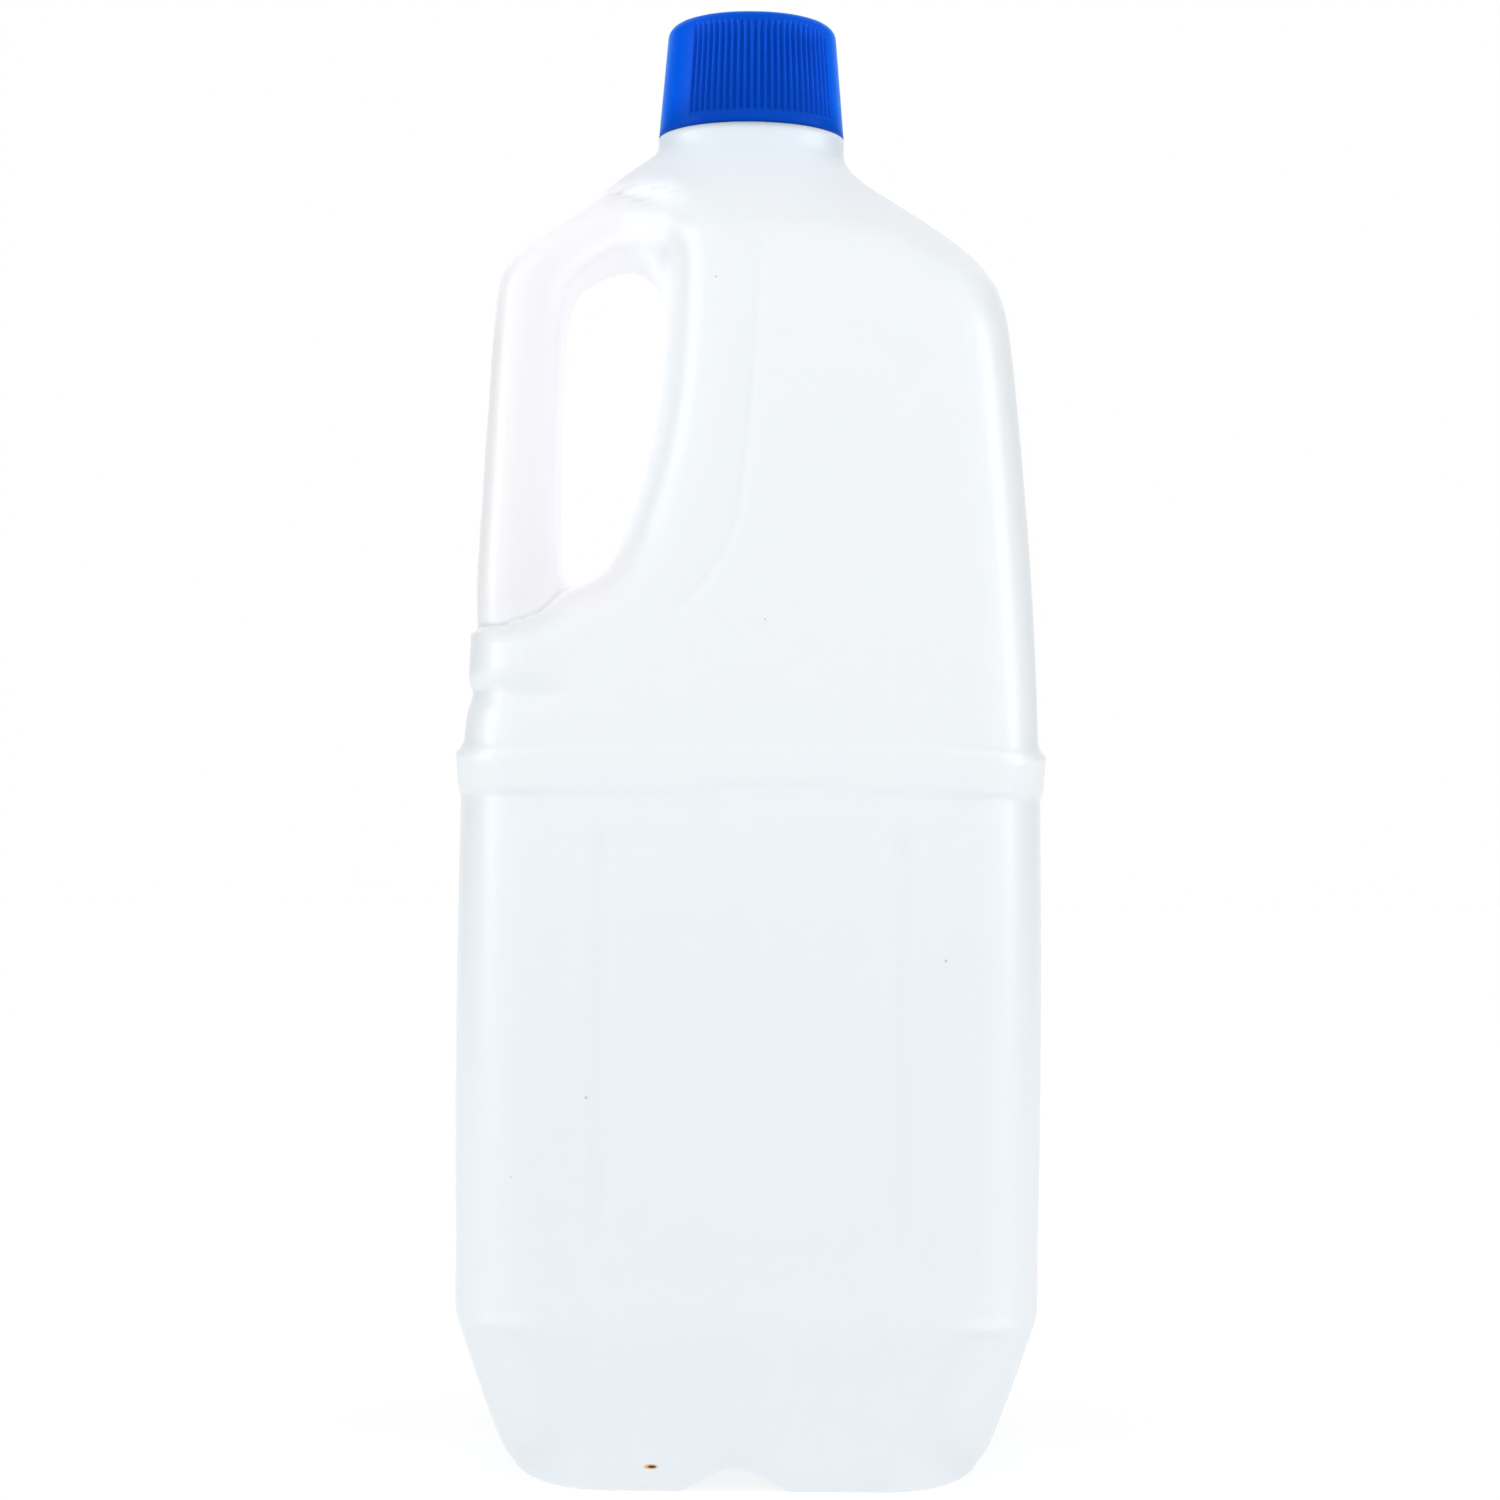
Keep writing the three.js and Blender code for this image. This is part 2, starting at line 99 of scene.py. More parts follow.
def through(stations):
    """A smooth curve through [place, value] stations that never overshoots them."""
    place, value = np.array(stations, float).T
    width = np.diff(place)
    slope = np.diff(value) / width
    tangent = np.zeros_like(value)
    same_way = slope[:-1] * slope[1:] > 0
    mean = 2.0 * slope[:-1] * slope[1:] / np.where(same_way, slope[:-1] + slope[1:], 1.0)
    tangent[1:-1] = np.where(same_way, mean, 0.0)
    tangent[0], tangent[-1] = slope[0], slope[-1]

    def read(at):
        at = np.clip(at, place[0], place[-1])
        i = np.clip(np.searchsorted(place, at) - 1, 0, len(width) - 1)
        t = (at - place[i]) / width[i]
        rise = value[i] * (1 + 2 * t) * (1 - t) ** 2 + value[i + 1] * t * t * (3 - 2 * t)
        return rise + width[i] * t * (1 - t) * (tangent[i] * (1 - t) - tangent[i + 1] * t)

    return read


def spline(points, count, closed=False):
    """Points spaced along a smooth line through the given points, of any number of columns."""
    points = np.array(points, float)
    if closed:
        points = np.vstack([points[-2:], points, points[:3]])
    steps = np.linalg.norm(np.diff(points[:, :2], axis=0), axis=1)
    reach = np.concatenate([[0.0], np.cumsum(np.sqrt(steps))])
    first, last = (reach[2], reach[-3]) if closed else (reach[0], reach[-1])
    at = np.linspace(first, last, count + 1)
    i = np.clip(np.searchsorted(reach, at, side="right") - 1, 0, len(points) - 2)
    t = ((at - reach[i]) / (reach[i + 1] - reach[i]))[:, None]
    before = points[np.maximum(i - 1, 0)]
    after = points[np.minimum(i + 2, len(points) - 1)]
    start, end = points[i], points[i + 1]
    a = 0.5 * (end - before)
    b = 0.5 * (after - start)
    line = start * (1 + 2 * t) * (1 - t) ** 2 + end * t * t * (3 - 2 * t)
    line += a * t * (1 - t) ** 2 - b * t * t * (1 - t)
    return line[:-1] if closed else line


def to_line(x, z, line, closed=False):
    """For many points, the distance to each stretch of a line, and how far along that stretch."""
    ends = np.roll(line, -1, axis=0) if closed else line[1:]
    starts = line if closed else line[:-1]
    dx, dz = (ends - starts)[:, 0], (ends - starts)[:, 1]
    px, pz = x[:, None] - starts[:, 0], z[:, None] - starts[:, 1]
    along = np.clip((px * dx + pz * dz) / (dx * dx + dz * dz), 0.0, 1.0)
    return np.hypot(px - along * dx, pz - along * dz), along


def inside(x, z, line):
    """Whether points lie inside a closed outline."""
    ends = np.roll(line, -1, axis=0)
    x0, z0, x1, z1 = line[:, 0], line[:, 1], ends[:, 0], ends[:, 1]
    crosses = (z0 > z[:, None]) != (z1 > z[:, None])
    rise = np.where(z1 == z0, 1.0, z1 - z0)
    at = x0 + (z[:, None] - z0) / rise * (x1 - x0)
    return (np.sum(crosses & (x[:, None] < at), axis=1) % 2) == 1


# %% [markdown]
# The side outline comes next, in millimetres above the table. The lower body is nearly straight,
# with a raised belt in the middle, a soft ridge low down and a straight taper to the feet. Above
# the belt the right side leans in and turns over the shoulder, and the left side is the handle's
# back. A Bezier curve drawn by hand would do too. Small functions are used instead, because the
# same belt and ridge also have to run across the front.

# %% Side outline
HALF_WIDTH = 60.9
HALF_DEPTH = 40.4
Z_FOOT_ROUND = 6.0
Z_TAPER_TOP = 32.5
Z_RIDGE = (30.5, 40.0)
BEAD_Z = 33.6
Z_BELT = (141.8, 148.6)
Z_GROOVE = 160.0
Z_SHOULDER = 256.0
Z_COLLAR = 276.5
Z_CAP_FOOT = 280.1
Z_RIM = 302.1
NECK_X = -1.0
COLLAR_R = 19.8
NECK_R = 17.4
RIM_R = 15.9
TAPER_SLOPE = 0.335
TAPER_SOFTNESS = 3.0
FOOT_INSET = 1.5
BEAD_HALF = 1.3
BELT_HEIGHT, RIDGE_HEIGHT, SWELL_HEIGHT = 0.7, 0.2, 0.45
GROOVE_DEPTH, GROOVE_HALF = 0.9, 1.9
Z_LEAN = (148.6, 151.0)

right_upper = through([
    [149.0, 60.0], [167.0, 59.2], [176.0, 58.7], [193.0, 57.5], [210.0, 56.1], [227.0, 54.5], [235.4, 53.5],
    [240.0, 52.8], [245.2, 51.5], [250.3, 49.3], [254.2, 46.5], [258.0, 42.1], [261.8, 36.8], [265.7, 30.8],
    [269.5, 24.9], [272.0, 21.7], [274.6, 19.5], [277.0, 18.8], [282.0, 18.8],
])
left_upper = through([
    [149.0, 60.0], [163.0, 58.8], [174.0, 58.4], [182.3, 58.6], [203.5, 57.6], [224.8, 56.4],
    [240.0, 55.5], [246.0, 55.0], [249.5, 54.3], [252.9, 52.6], [255.4, 50.4], [258.0, 47.3],
    [260.6, 43.3], [263.1, 39.2], [265.2, 35.6], [266.9, 33.2], [268.2, 32.3], [269.5, 31.1],
    [272.0, 28.1], [274.6, 24.5], [277.0, 21.2], [278.6, 20.8], [282.0, 20.8],
])


def taper(z):
    """How far the lower end is drawn in by its straight taper, which starts softly."""
    below = Z_TAPER_TOP - z
    return TAPER_SLOPE * 0.5 * (np.sqrt(below ** 2 + TAPER_SOFTNESS ** 2) + below)


def foot_round(z):
    """How far the rounded foot is drawn in further."""
    t = np.clip((Z_FOOT_ROUND - z) / Z_FOOT_ROUND, 0.0, 1.0)
    return FOOT_INSET * t * t


def belt_low(x):
    """The belt's lower edge, which arches a little over the middle of the label panel."""
    return Z_BELT[0] - 1.2 + 1.5 * np.exp(-(((x - 6.0) / 17.0) ** 4))


def relief(x, z):
    """Belt, ridge, the bead over the taper and the faint swell of the label panel."""
    low = belt_low(x)
    out = np.abs(x)
    at_sides = 0.22 + 0.76 * ease(out, 34.0, 50.0)
    belt = ease(z, low - 1.0, low + 0.6) - ease(z, Z_BELT[1] - 0.2, Z_BELT[1] + 1.4)
    ridge = ease(z, Z_RIDGE[0] - 5, Z_RIDGE[0] + 2) - ease(z, Z_RIDGE[1] - 2, Z_RIDGE[1] + 5)
    at_corners = ease(out, 42.0, 47.0) - ease(out, 52.0, 57.0)
    bead = np.exp(-(((z - BEAD_Z) / BEAD_HALF) ** 2)) * (0.12 + 0.7 * at_corners)
    swell = np.sin(math.pi * np.clip((z - Z_RIDGE[1]) / (Z_BELT[0] - Z_RIDGE[1]), 0.0, 1.0))
    return (BELT_HEIGHT * belt + bead + RIDGE_HEIGHT * ridge) * at_sides + SWELL_HEIGHT * swell


def groove(z):
    """The notch in the left side under the handle."""
    return GROOVE_DEPTH * np.exp(-(((z - Z_GROOVE) / GROOVE_HALF) ** 2))


SIDE = 60.0


def right(z):
    """The right outline: how far to the right it stands at each height."""
    body = HALF_WIDTH - taper(z) - foot_round(z)
    share = ease(z, *Z_LEAN)
    return body + (right_upper(z) - body) * share + relief(np.full_like(z, SIDE), z)


def left(z):
    """The left outline, which above the belt is the back of the handle."""
    body = HALF_WIDTH - taper(z) - foot_round(z)
    share = ease(z, *Z_LEAN)
    return -(body + (left_upper(z) - body) * share) - relief(np.full_like(z, -SIDE), z) + groove(z)


print("width at the belt:", round(float(right(np.array([145.0]))[0] - left(np.array([145.0]))[0]), 1), "mm")


# %% [markdown]
# The finger hole is one closed curve. The body rolls down to it from the front like a quarter of
# a rounded square, over a width that changes on the way round: narrow over the shelf under the
# grip, wide beside the hole, and again a little wider over the lobe of the shoulder. A Bevel
# modifier has one width, so the width is a third value on each point of the edge line.

# %% Rows, finger hole and the edges of the body
rows = np.concatenate([
    np.linspace(low, high, count, endpoint=False)
    for low, high, count in (
        (0.0, 1.0, 6), (1.0, 10.0, 9), (10.0, 26.0, 7), (26.0, 40.0, 14), (40.0, 46.0, 3),
        (46.0, 138.6, 43), (138.6, 151.0, 19), (151.0, 170.0, 12), (170.0, 186.0, 12),
        (186.0, 240.0, 30), (240.0, Z_CAP_FOOT, 32),
    )
] + [[Z_CAP_FOOT]])

HOLE = spline([
    [-37.2, 184.0], [-31.6, 186.8], [-27.4, 193.2], [-24.7, 201.4], [-22.3, 209.9], [-20.2, 222.0],
    [-19.1, 236.0], [-19.7, 245.6], [-22.4, 251.5], [-27.0, 253.4], [-33.2, 251.3], [-38.4, 246.8],
    [-40.4, 238.0], [-41.1, 222.0], [-41.2, 205.0], [-40.9, 192.0], [-39.9, 186.2],
], 110, closed=True)

roll_width = through([
    [0.0, 20.0], [8.0, 17.0], [24.0, 14.5], [141.0, 14.5], [150.0, 12.5], [236.0, 12.5], [252.0, 15.0],
    [266.0, 17.5], [Z_COLLAR, COLLAR_R], [290.0, COLLAR_R],
])
side_bow = through([[0.0, 3.2], [141.0, 3.2], [150.0, 1.6], [200.0, 1.0], [290.0, 1.0]])
corner_depth = through([
    [0.0, 38.0], [12.0, 31.0], [26.0, 27.0], [141.0, 27.0], [150.0, 20.0], [236.0, 20.0],
    [Z_COLLAR, COLLAR_R], [290.0, COLLAR_R],
])
LEDGE_Z, LOBE_Z = 174.4, 267.0
below, above = rows[rows <= LEDGE_Z], np.append(rows[rows > LOBE_Z], 282.0)
left_low = np.column_stack([left(below), below, roll_width(below)])
left_high = np.column_stack([left(above), above, roll_width(above)])
by_hole = spline([
    [*left_low[-1, :2], 7.0], [-51.0, 175.5, 7.0], [-44.0, 178.3, 8.0], [-40.4, 181.4, 9.0],
    [-36.5, 184.1, 10.0], [-31.4, 187.0, 11.5], [-27.4, 193.2, 12.5], [-24.7, 201.4, 13.0],
    [-22.3, 209.9, 13.0], [-20.2, 222.0, 13.0], [-19.1, 236.0, 13.0], [-19.3, 245.6, 13.0],
    [-20.0, 251.5, 13.0], [-21.6, 257.5, 13.0], [-25.6, 262.4, 13.5], [*left_high[0, :2], 15.0],
], 90)
LEFT_EDGE = np.vstack([left_low, by_hole[1:-1], left_high])
tall = np.append(rows, 282.0)
RIGHT_EDGE = np.column_stack([right(tall), tall, roll_width(tall)])
BODY_OUTLINE = np.vstack([LEFT_EDGE[:, :2], RIGHT_EDGE[::-1, :2]])
print("edge points:", len(LEFT_EDGE), len(RIGHT_EDGE))


# %% [markdown]
# Depth is the heart of the shape. The middle of the front is nearly flat, the shoulder slopes back
# to the round neck, and small relief is laid on top: the panel's raised edge, the flutes beside
# the label panel and three faint cross lines on it. Sculpt brushes could press these in, but a sum
# of smooth steps gives the same relief each time and each part keeps its size in millimetres.

# %% Depth of the body and its relief
middle_depth = through([
    [0.0, HALF_DEPTH], [150.0, HALF_DEPTH - 0.4], [200.0, HALF_DEPTH - 1.6], [236.0, HALF_DEPTH - 3.9],
    [249.0, HALF_DEPTH - 5.6], [Z_SHOULDER, HALF_DEPTH - 7.2], [260.0, 30.3], [266.0, 25.9], [270.0, 23.1],
    [273.5, 20.9], [Z_COLLAR, COLLAR_R], [290.0, COLLAR_R],
])
PANEL_EDGE = through([
    [150.0, -70.0], [158.5, -44.0], [162.6, -31.7], [172.1, -20.0], [180.0, -11.5], [187.0, -6.6],
    [193.7, -3.4], [212.5, -0.9], [239.7, 0.9], [260.0, 1.4],
])
PANEL_STEP = 0.6
SHOULDER_BREAK, SHOULDER_SLOPE = 27.0, 0.62
FLUTE_X, FLUTE_LOW, FLUTE_HIGH, FLUTE_HALF, FLUTE_DEPTH = 30.5, 49.8, 129.4, 3.6, 0.45
CROSS_LINES = ((53.4, -25.0, 25.0), (90.1, -7.0, 24.0), (124.8, 4.0, 23.0))
CROSS_LINE_HEIGHT = 0.22
CUSHION_Z, CUSHION_HALF, CUSHION_HEIGHT = 167.2, 4.2, 0.7
FRONT_CROWN = 1.0
TAPER_DEPTH_SHARE, FOOT_DEPTH_SHARE = 0.47, 0.25
HOLE_SIDE_X = -5.0
HOLE_BOW = 0.8
LEDGE_BOW = 5.0


def shoulder_drop(x, z):
    """How much lower the shoulder starts towards the sides."""
    return SHOULDER_SLOPE * np.maximum(0.0, np.abs(x) - SHOULDER_BREAK) * ease(z, 232.0, Z_SHOULDER)


def line_across(x, z, height, start, end):
    """A faint raised line across the label panel, between two places."""
    return np.exp(-((z - height) ** 2)) * ease(x, start - 1, start + 1) * (1 - ease(x, end - 1, end + 1))


def small_relief(x, z):
    """Panel edge, flutes, cross lines, and the notch and cushion under the handle."""
    panel = ease(x - PANEL_EDGE(z), -0.7, 0.7) * (1.0 - ease(z + shoulder_drop(x, z), 253.4, 258.6))
    raised = PANEL_STEP * (panel - 1.0) * ease(z, 156.0, 164.0)
    beyond = np.clip(np.abs(z - (FLUTE_LOW + FLUTE_HIGH) / 2) - (FLUTE_HIGH - FLUTE_LOW) / 2, 0.0, None)
    away = np.hypot(np.abs(x) - FLUTE_X, beyond) / FLUTE_HALF
    flute = FLUTE_DEPTH * (0.5 + 0.5 * np.cos(math.pi * np.clip(away, 0.0, 1.0)))
    lines = sum(line_across(x, z, *line) for line in CROSS_LINES)
    dent = groove(z) * (1.0 - ease(x, -46.0, -30.0))
    cushion = np.exp(-(((z - CUSHION_Z) / CUSHION_HALF) ** 4)) * (1.0 - ease(x, -46.0, -43.6))
    return raised - flute + CROSS_LINE_HEIGHT * lines - dent + CUSHION_HEIGHT * cushion


def body_depth(x, z):
    """How far in front of the seam the body stands, away from its edges."""
    crown = FRONT_CROWN * (x / HALF_WIDTH) ** 2 * (1.0 - ease(z, 240.0, Z_COLLAR))
    drawn_in = crown + TAPER_DEPTH_SHARE * taper(z) + FOOT_DEPTH_SHARE * foot_round(z)
    return middle_depth(z + shoulder_drop(x, z)) - drawn_in + relief(x, z) + small_relief(x, z)


def body_height(x, z):
    """The body's surface: its depth, brought down to the seam by a side wall and a round corner."""
    corner_share, side_share = np.ones_like(x), np.ones_like(x)
    at_hole = (x < HOLE_SIDE_X) & (z > LEDGE_Z - 12.0)
    hole_bow = HOLE_BOW + (LEDGE_BOW - HOLE_BOW) * ease(x, -57.0, -46.0) * (1.0 - ease(z, 184.0, 192.0))
    bow = np.where(at_hole, hole_bow, side_bow(z))
    for edge in (LEFT_EDGE, RIGHT_EDGE):
        away, along = to_line(x, z, edge[:, :2])
        width = edge[:-1, 2] + (edge[1:, 2] - edge[:-1, 2]) * along
        corner_share = np.minimum(corner_share, (away / width).min(axis=1))
        side_share = np.minimum(side_share, away.min(axis=1) / bow)
    depth = body_depth(x, z)
    to_neck = ease(z, 236.0, Z_COLLAR)
    corner = corner_depth(z) + (depth - corner_depth(z)) * to_neck
    height = (depth - corner) * np.sqrt(1.0 - (1.0 - side_share) ** 2)
    height += corner * np.sqrt(1.0 - (1.0 - corner_share) ** 2)
    return np.where(inside(x, z, BODY_OUTLINE), height, 0.0)


# %% [markdown]
# The handle is a hollow tube of oval section between its back and the hole. A curve with a bevel
# would give a tube too, but it would have to be joined to the body with a Boolean and keep a hard
# line there. Here the share of the way from one edge to the other gives the depth, so the oval
# meets both edges whatever the width, and a fillet blends it into the body. Its inner half is
# squarer, and it grows deeper where its upper branch runs into the shoulder.

# %% Depth of the handle, and both together
grip_back = np.append(rows[(rows > 166.0) & (rows < 266.5)], 266.9)
GRIP_OUTER = np.vstack([
    np.column_stack([left(grip_back), grip_back]),
    spline([
        [-31.0, 268.0], [-24.0, 266.9], [-18.6, 265.8], [-13.4, 263.4], [-9.4, 259.6], [-7.0, 254.4],
        [-6.2, 248.0], [-7.0, 240.0], [-8.0, 230.0],
    ], 40),
])
GRIP_REGION = np.vstack([GRIP_OUTER, [[-14.0, 215.0], [-16.0, 190.0], [-30.0, 168.0], [-40.0, 162.0]]])
grip_depth = through([
    [-62.0, 13.0], [-42.0, 13.0], [-34.0, 14.5], [-28.0, 17.0], [-22.0, 21.5], [-17.0, 25.5], [-13.0, 28.0],
    [-8.0, 29.0],
])
GRIP_MIDDLE_X = -42.0
INNER_SQUARENESS, OUTER_SQUARENESS = (8.0, 1.0 / 3.0), (2.4, 1.0 / 2.2)


def grip_height(x, z):
    """The handle's surface."""
    outer = to_line(x, z, GRIP_OUTER)[0].min(axis=1)
    inner = to_line(x, z, HOLE, closed=True)[0].min(axis=1)
    share = np.abs(outer - inner) / np.maximum(outer + inner, 1e-9)
    upper = ease(z, 238.0, 254.0)
    fade = ease(z, 224.0, 256.0)
    depth = grip_depth(GRIP_MIDDLE_X + (x - GRIP_MIDDLE_X) * upper)
    inner_half = outer > inner
    power, root = (np.where(inner_half, a, b) for a, b in zip(INNER_SQUARENESS, OUTER_SQUARENESS))
    oval = depth * (1.0 - share ** power) ** root
    left_of_hole = np.where(x > -30.0, np.maximum(fade, ease(-x, 26.0, 30.0)), 1.0)
    return np.where(inside(x, z, GRIP_REGION), oval * left_of_hole, 0.0)


FILLET, LEDGE_FILLET = 4.0, 15.0


def half_depth(x, z):
    """The surface of one mould half: body and handle, with a small fillet where they meet."""
    body, grip = body_height(x, z), grip_height(x, z)
    away_from_seam = np.clip(np.minimum(body, grip) / 10.0, 1e-3, 1.0)
    fillet = (FILLET + (LEDGE_FILLET - FILLET) * (1.0 - ease(z, 186.0, 200.0))) * away_from_seam
    return np.maximum(body, grip) + np.maximum(fillet - np.abs(body - grip), 0.0) ** 2 / (4.0 * fillet)


belt_depth = float(half_depth(np.array([5.0]), np.array([145.0]))[0])
print("the belt stands", round(belt_depth, 1), "mm in front of the seam")


# %% [markdown]
# Now the sheet itself. A flat grid is added, and its columns gather at both sides, where the
# surface turns hard towards the seam, and over the flutes. Its rows run from the middle of the
# base, out to the foot, up the front and up the neck, so one sheet closes the whole half.

# %% Columns and rows of the sheet
WALL_COLUMNS, CORNER_COLUMNS = 8, 13
wall_steps = 1.0 - np.cos(np.linspace(0.0, math.pi / 2, WALL_COLUMNS + 1))
corner_steps = 1.0 - np.cos(np.linspace(0.0, math.pi / 2, CORNER_COLUMNS + 1))[3:]
corner_steps = (corner_steps - corner_steps[0]) / (1.0 - corner_steps[0])
front = np.concatenate([
    np.arange(-44.6, -35.0, 1.6), np.arange(-35.0, -26.0, 0.85), np.arange(-26.0, -13.0, 1.6),
    np.arange(-13.2, 2.0, 0.9), np.arange(2.1, 26.0, 2.0),
    np.arange(26.0, 35.0, 0.85), np.arange(35.0, 46.01, 1.6),
])
front_shares = (front - front[0] + 1.5) / (front[-1] - front[0] + 3.0)


def columns(z):
    """Where the columns stand in the row at height z, from the left side to the right."""
    low, high = float(left(z)[0]), float(right(z)[0])
    bow = float(side_bow(z)[0])
    roll = min(float(roll_width(z)[0]), 0.25 * (high - low))
    inwards = np.concatenate([bow * wall_steps, bow + (roll - bow) * corner_steps[1:]])
    span = high - low - 2.0 * roll
    return np.concatenate([low + inwards, low + roll + span * front_shares, high - inwards[::-1]])


BASE_ROWS = 9
NECK_ROWS = [
    (COLLAR_R, Z_CAP_FOOT), (NECK_R + 0.5, Z_CAP_FOOT + 0.1), (NECK_R, Z_CAP_FOOT + 0.6), (RIM_R, Z_RIM),
]
column_count = len(columns(rows[:1]))
row_count = BASE_ROWS + len(rows) + len(NECK_ROWS)
print("sheet:", column_count, "columns,", row_count, "rows")


# %% [markdown]
# The feet leave a channel under the bottle from front to back. The lowest rows follow its arch,
# and the rows under the base run straight back from it. A grid could be laid over the form with
# a Shrinkwrap modifier, but it slips on steep walls. Here each point is given its own place.

# %% The channel under the base
CHANNEL_X, CHANNEL_HALF, CHANNEL_HEIGHT = -2.1, 11.8, 4.4
CHANNEL_FADE = 16.0


def channel(x):
    """Height of the arch between the feet."""
    t = np.clip(np.abs(x - CHANNEL_X) / CHANNEL_HALF, 0.0, 1.0)
    return CHANNEL_HEIGHT * (1.0 - t * t) ** 2.2


print("channel:", CHANNEL_HEIGHT, "mm high,", 2 * CHANNEL_HALF, "mm wide")


# %% Places of the sheet's points
def pressed_sheet():
    """Places of the sheet's points, row by row, in millimetres."""
    foot_x = columns(rows[:1])
    foot_depth = half_depth(foot_x, np.full_like(foot_x, 0.0))
    foot_depth[[0, -1]] = 0.0
    places = []
    for k in range(BASE_ROWS):
        places.append(np.column_stack([foot_x, -foot_depth * k / BASE_ROWS, channel(foot_x)]))
    for z in rows:
        level = np.full(column_count, z)
        x = columns(level[:1])
        lift = channel(x) * (1.0 - ease(level, 0.0, CHANNEL_FADE))
        places.append(np.column_stack([x, -half_depth(x, level), level + lift]))
        places[-1][[0, -1], 1] = 0.0
    last = places[-1]
    angle = np.arctan2(-last[:, 1], last[:, 0] - NECK_X)
    for radius, z in NECK_ROWS:
        x, y = NECK_X + radius * np.cos(angle), -radius * np.sin(angle)
        places.append(np.column_stack([x, y, np.full(column_count, z)]))
    return np.vstack(places)


sheet = pressed_sheet()
print("sheet points:", len(sheet), "from", sheet.min(axis=0).round(1), "to", sheet.max(axis=0).round(1))


# %% Press the sheet into the mould
def deselect():
    """Leave edit mode and select nothing."""
    if bpy.context.object and bpy.context.object.mode != "OBJECT":
        bpy.ops.object.mode_set(mode="OBJECT")
    bpy.ops.object.select_all(action="DESELECT")


def only(obj):
    """Select one object and make it active."""
    deselect()
    obj.select_set(True)
    bpy.context.view_layer.objects.active = obj


def apply_modifier(obj, kind, **settings):
    """Give an object a modifier and make its result the mesh."""
    only(obj)
    modifier = obj.modifiers.new(kind.lower(), kind)
    for name, value in settings.items():
        setattr(modifier, name, value)
    bpy.ops.object.modifier_apply(modifier=modifier.name)


deselect()
bpy.ops.mesh.primitive_grid_add(x_subdivisions=column_count - 1, y_subdivisions=row_count - 1, size=1.0)
bottle = bpy.context.object
bottle.name = "bottle_shell"
grid = np.array([v.co for v in bottle.data.vertices])
order = np.lexsort((np.round(grid[:, 0], 5), np.round(grid[:, 1], 5)))
placed = np.empty_like(sheet)
placed[order] = sheet
bottle.data.vertices.foreach_set("co", placed.ravel())
print("grid points:", len(grid), "faces:", len(bottle.data.polygons))


# %% [markdown]
# On the real bottle the mould pinches the two walls together and the hole is punched out of them.
# A Boolean would cut it in one go, but leave slivers at the steepest place. So the hole is cut
# out of the sheet a little too large. The cut edge is moved onto a line 3 mm outside the hole,
# and the points near it are evened out. Then the edge is extruded inwards in rings that close on
# the seam, finer and finer, because the surface turns steeply there.

# %% Places near the hole
RIM_WIDTH = 3.0
NEAR_RIM = 9.0
HOLE_LOW, HOLE_HIGH = 170.0, 266.0
HOLE_LEFT, HOLE_RIGHT = -50.0, -8.0


def flat_places(points):
    """Places of mesh points in the view from the front."""
    return np.array([[v.co.x, v.co.z] for v in points])


def hole_distance(points):
    """Distance to the hole's edge, and how far round the edge the nearest place is."""
    away, along = to_line(points[:, 0], points[:, 1], HOLE, closed=True)
    nearest = away.argmin(axis=1)
    pick = np.arange(len(points))
    return away[pick, nearest], nearest + along[pick, nearest]


def on_hole(place):
    """The point of the edge at a place round it, and the direction that points out of the hole."""
    count = len(HOLE)
    first = np.floor(place).astype(int) % count
    share = (place - np.floor(place))[:, None]
    tangent = np.roll(HOLE, -1, axis=0) - np.roll(HOLE, 1, axis=0)
    normal = np.column_stack([tangent[:, 1], -tangent[:, 0]])
    normal /= np.linalg.norm(normal, axis=1)[:, None]
    normal *= np.sign(((HOLE - HOLE.mean(axis=0)) * normal).sum())
    second = (first + 1) % count
    out = normal[first] * (1 - share) + normal[second] * share
    return HOLE[first] * (1 - share) + HOLE[second] * share, out / np.linalg.norm(out, axis=1)[:, None]


print("the hole's edge is a line of", len(HOLE), "points")

# %% Cut the finger hole
mesh = bmesh.new()
mesh.from_mesh(bottle.data)
faces = list(mesh.faces)
middles = np.array([f.calc_center_median() for f in faces])
upper = (middles[:, 2] > HOLE_LOW) & (middles[:, 2] < HOLE_HIGH) & (middles[:, 0] < 0.0)
distance = np.full(len(faces), np.inf)
distance[upper] = hole_distance(middles[upper][:, [0, 2]])[0]
within = np.zeros(len(faces), bool)
within[upper] = inside(middles[upper][:, 0], middles[upper][:, 2], HOLE)
gone = [f for f, d, w in zip(faces, distance, within) if w or d < RIM_WIDTH]
bmesh.ops.delete(mesh, geom=gone, context="FACES")
loose = [v for v in mesh.verts if not v.link_faces]
bmesh.ops.delete(mesh, geom=loose, context="VERTS")
cut = [e for e in mesh.edges if e.is_boundary and HOLE_LEFT < e.verts[0].co.x < HOLE_RIGHT]
cut = [e for e in cut if HOLE_LOW < e.verts[0].co.z < HOLE_HIGH]
cut = [e for e in cut if min(hole_distance(flat_places(e.verts))[0]) < NEAR_RIM]
print("faces cut away:", len(gone), "edges round the cut:", len(cut))

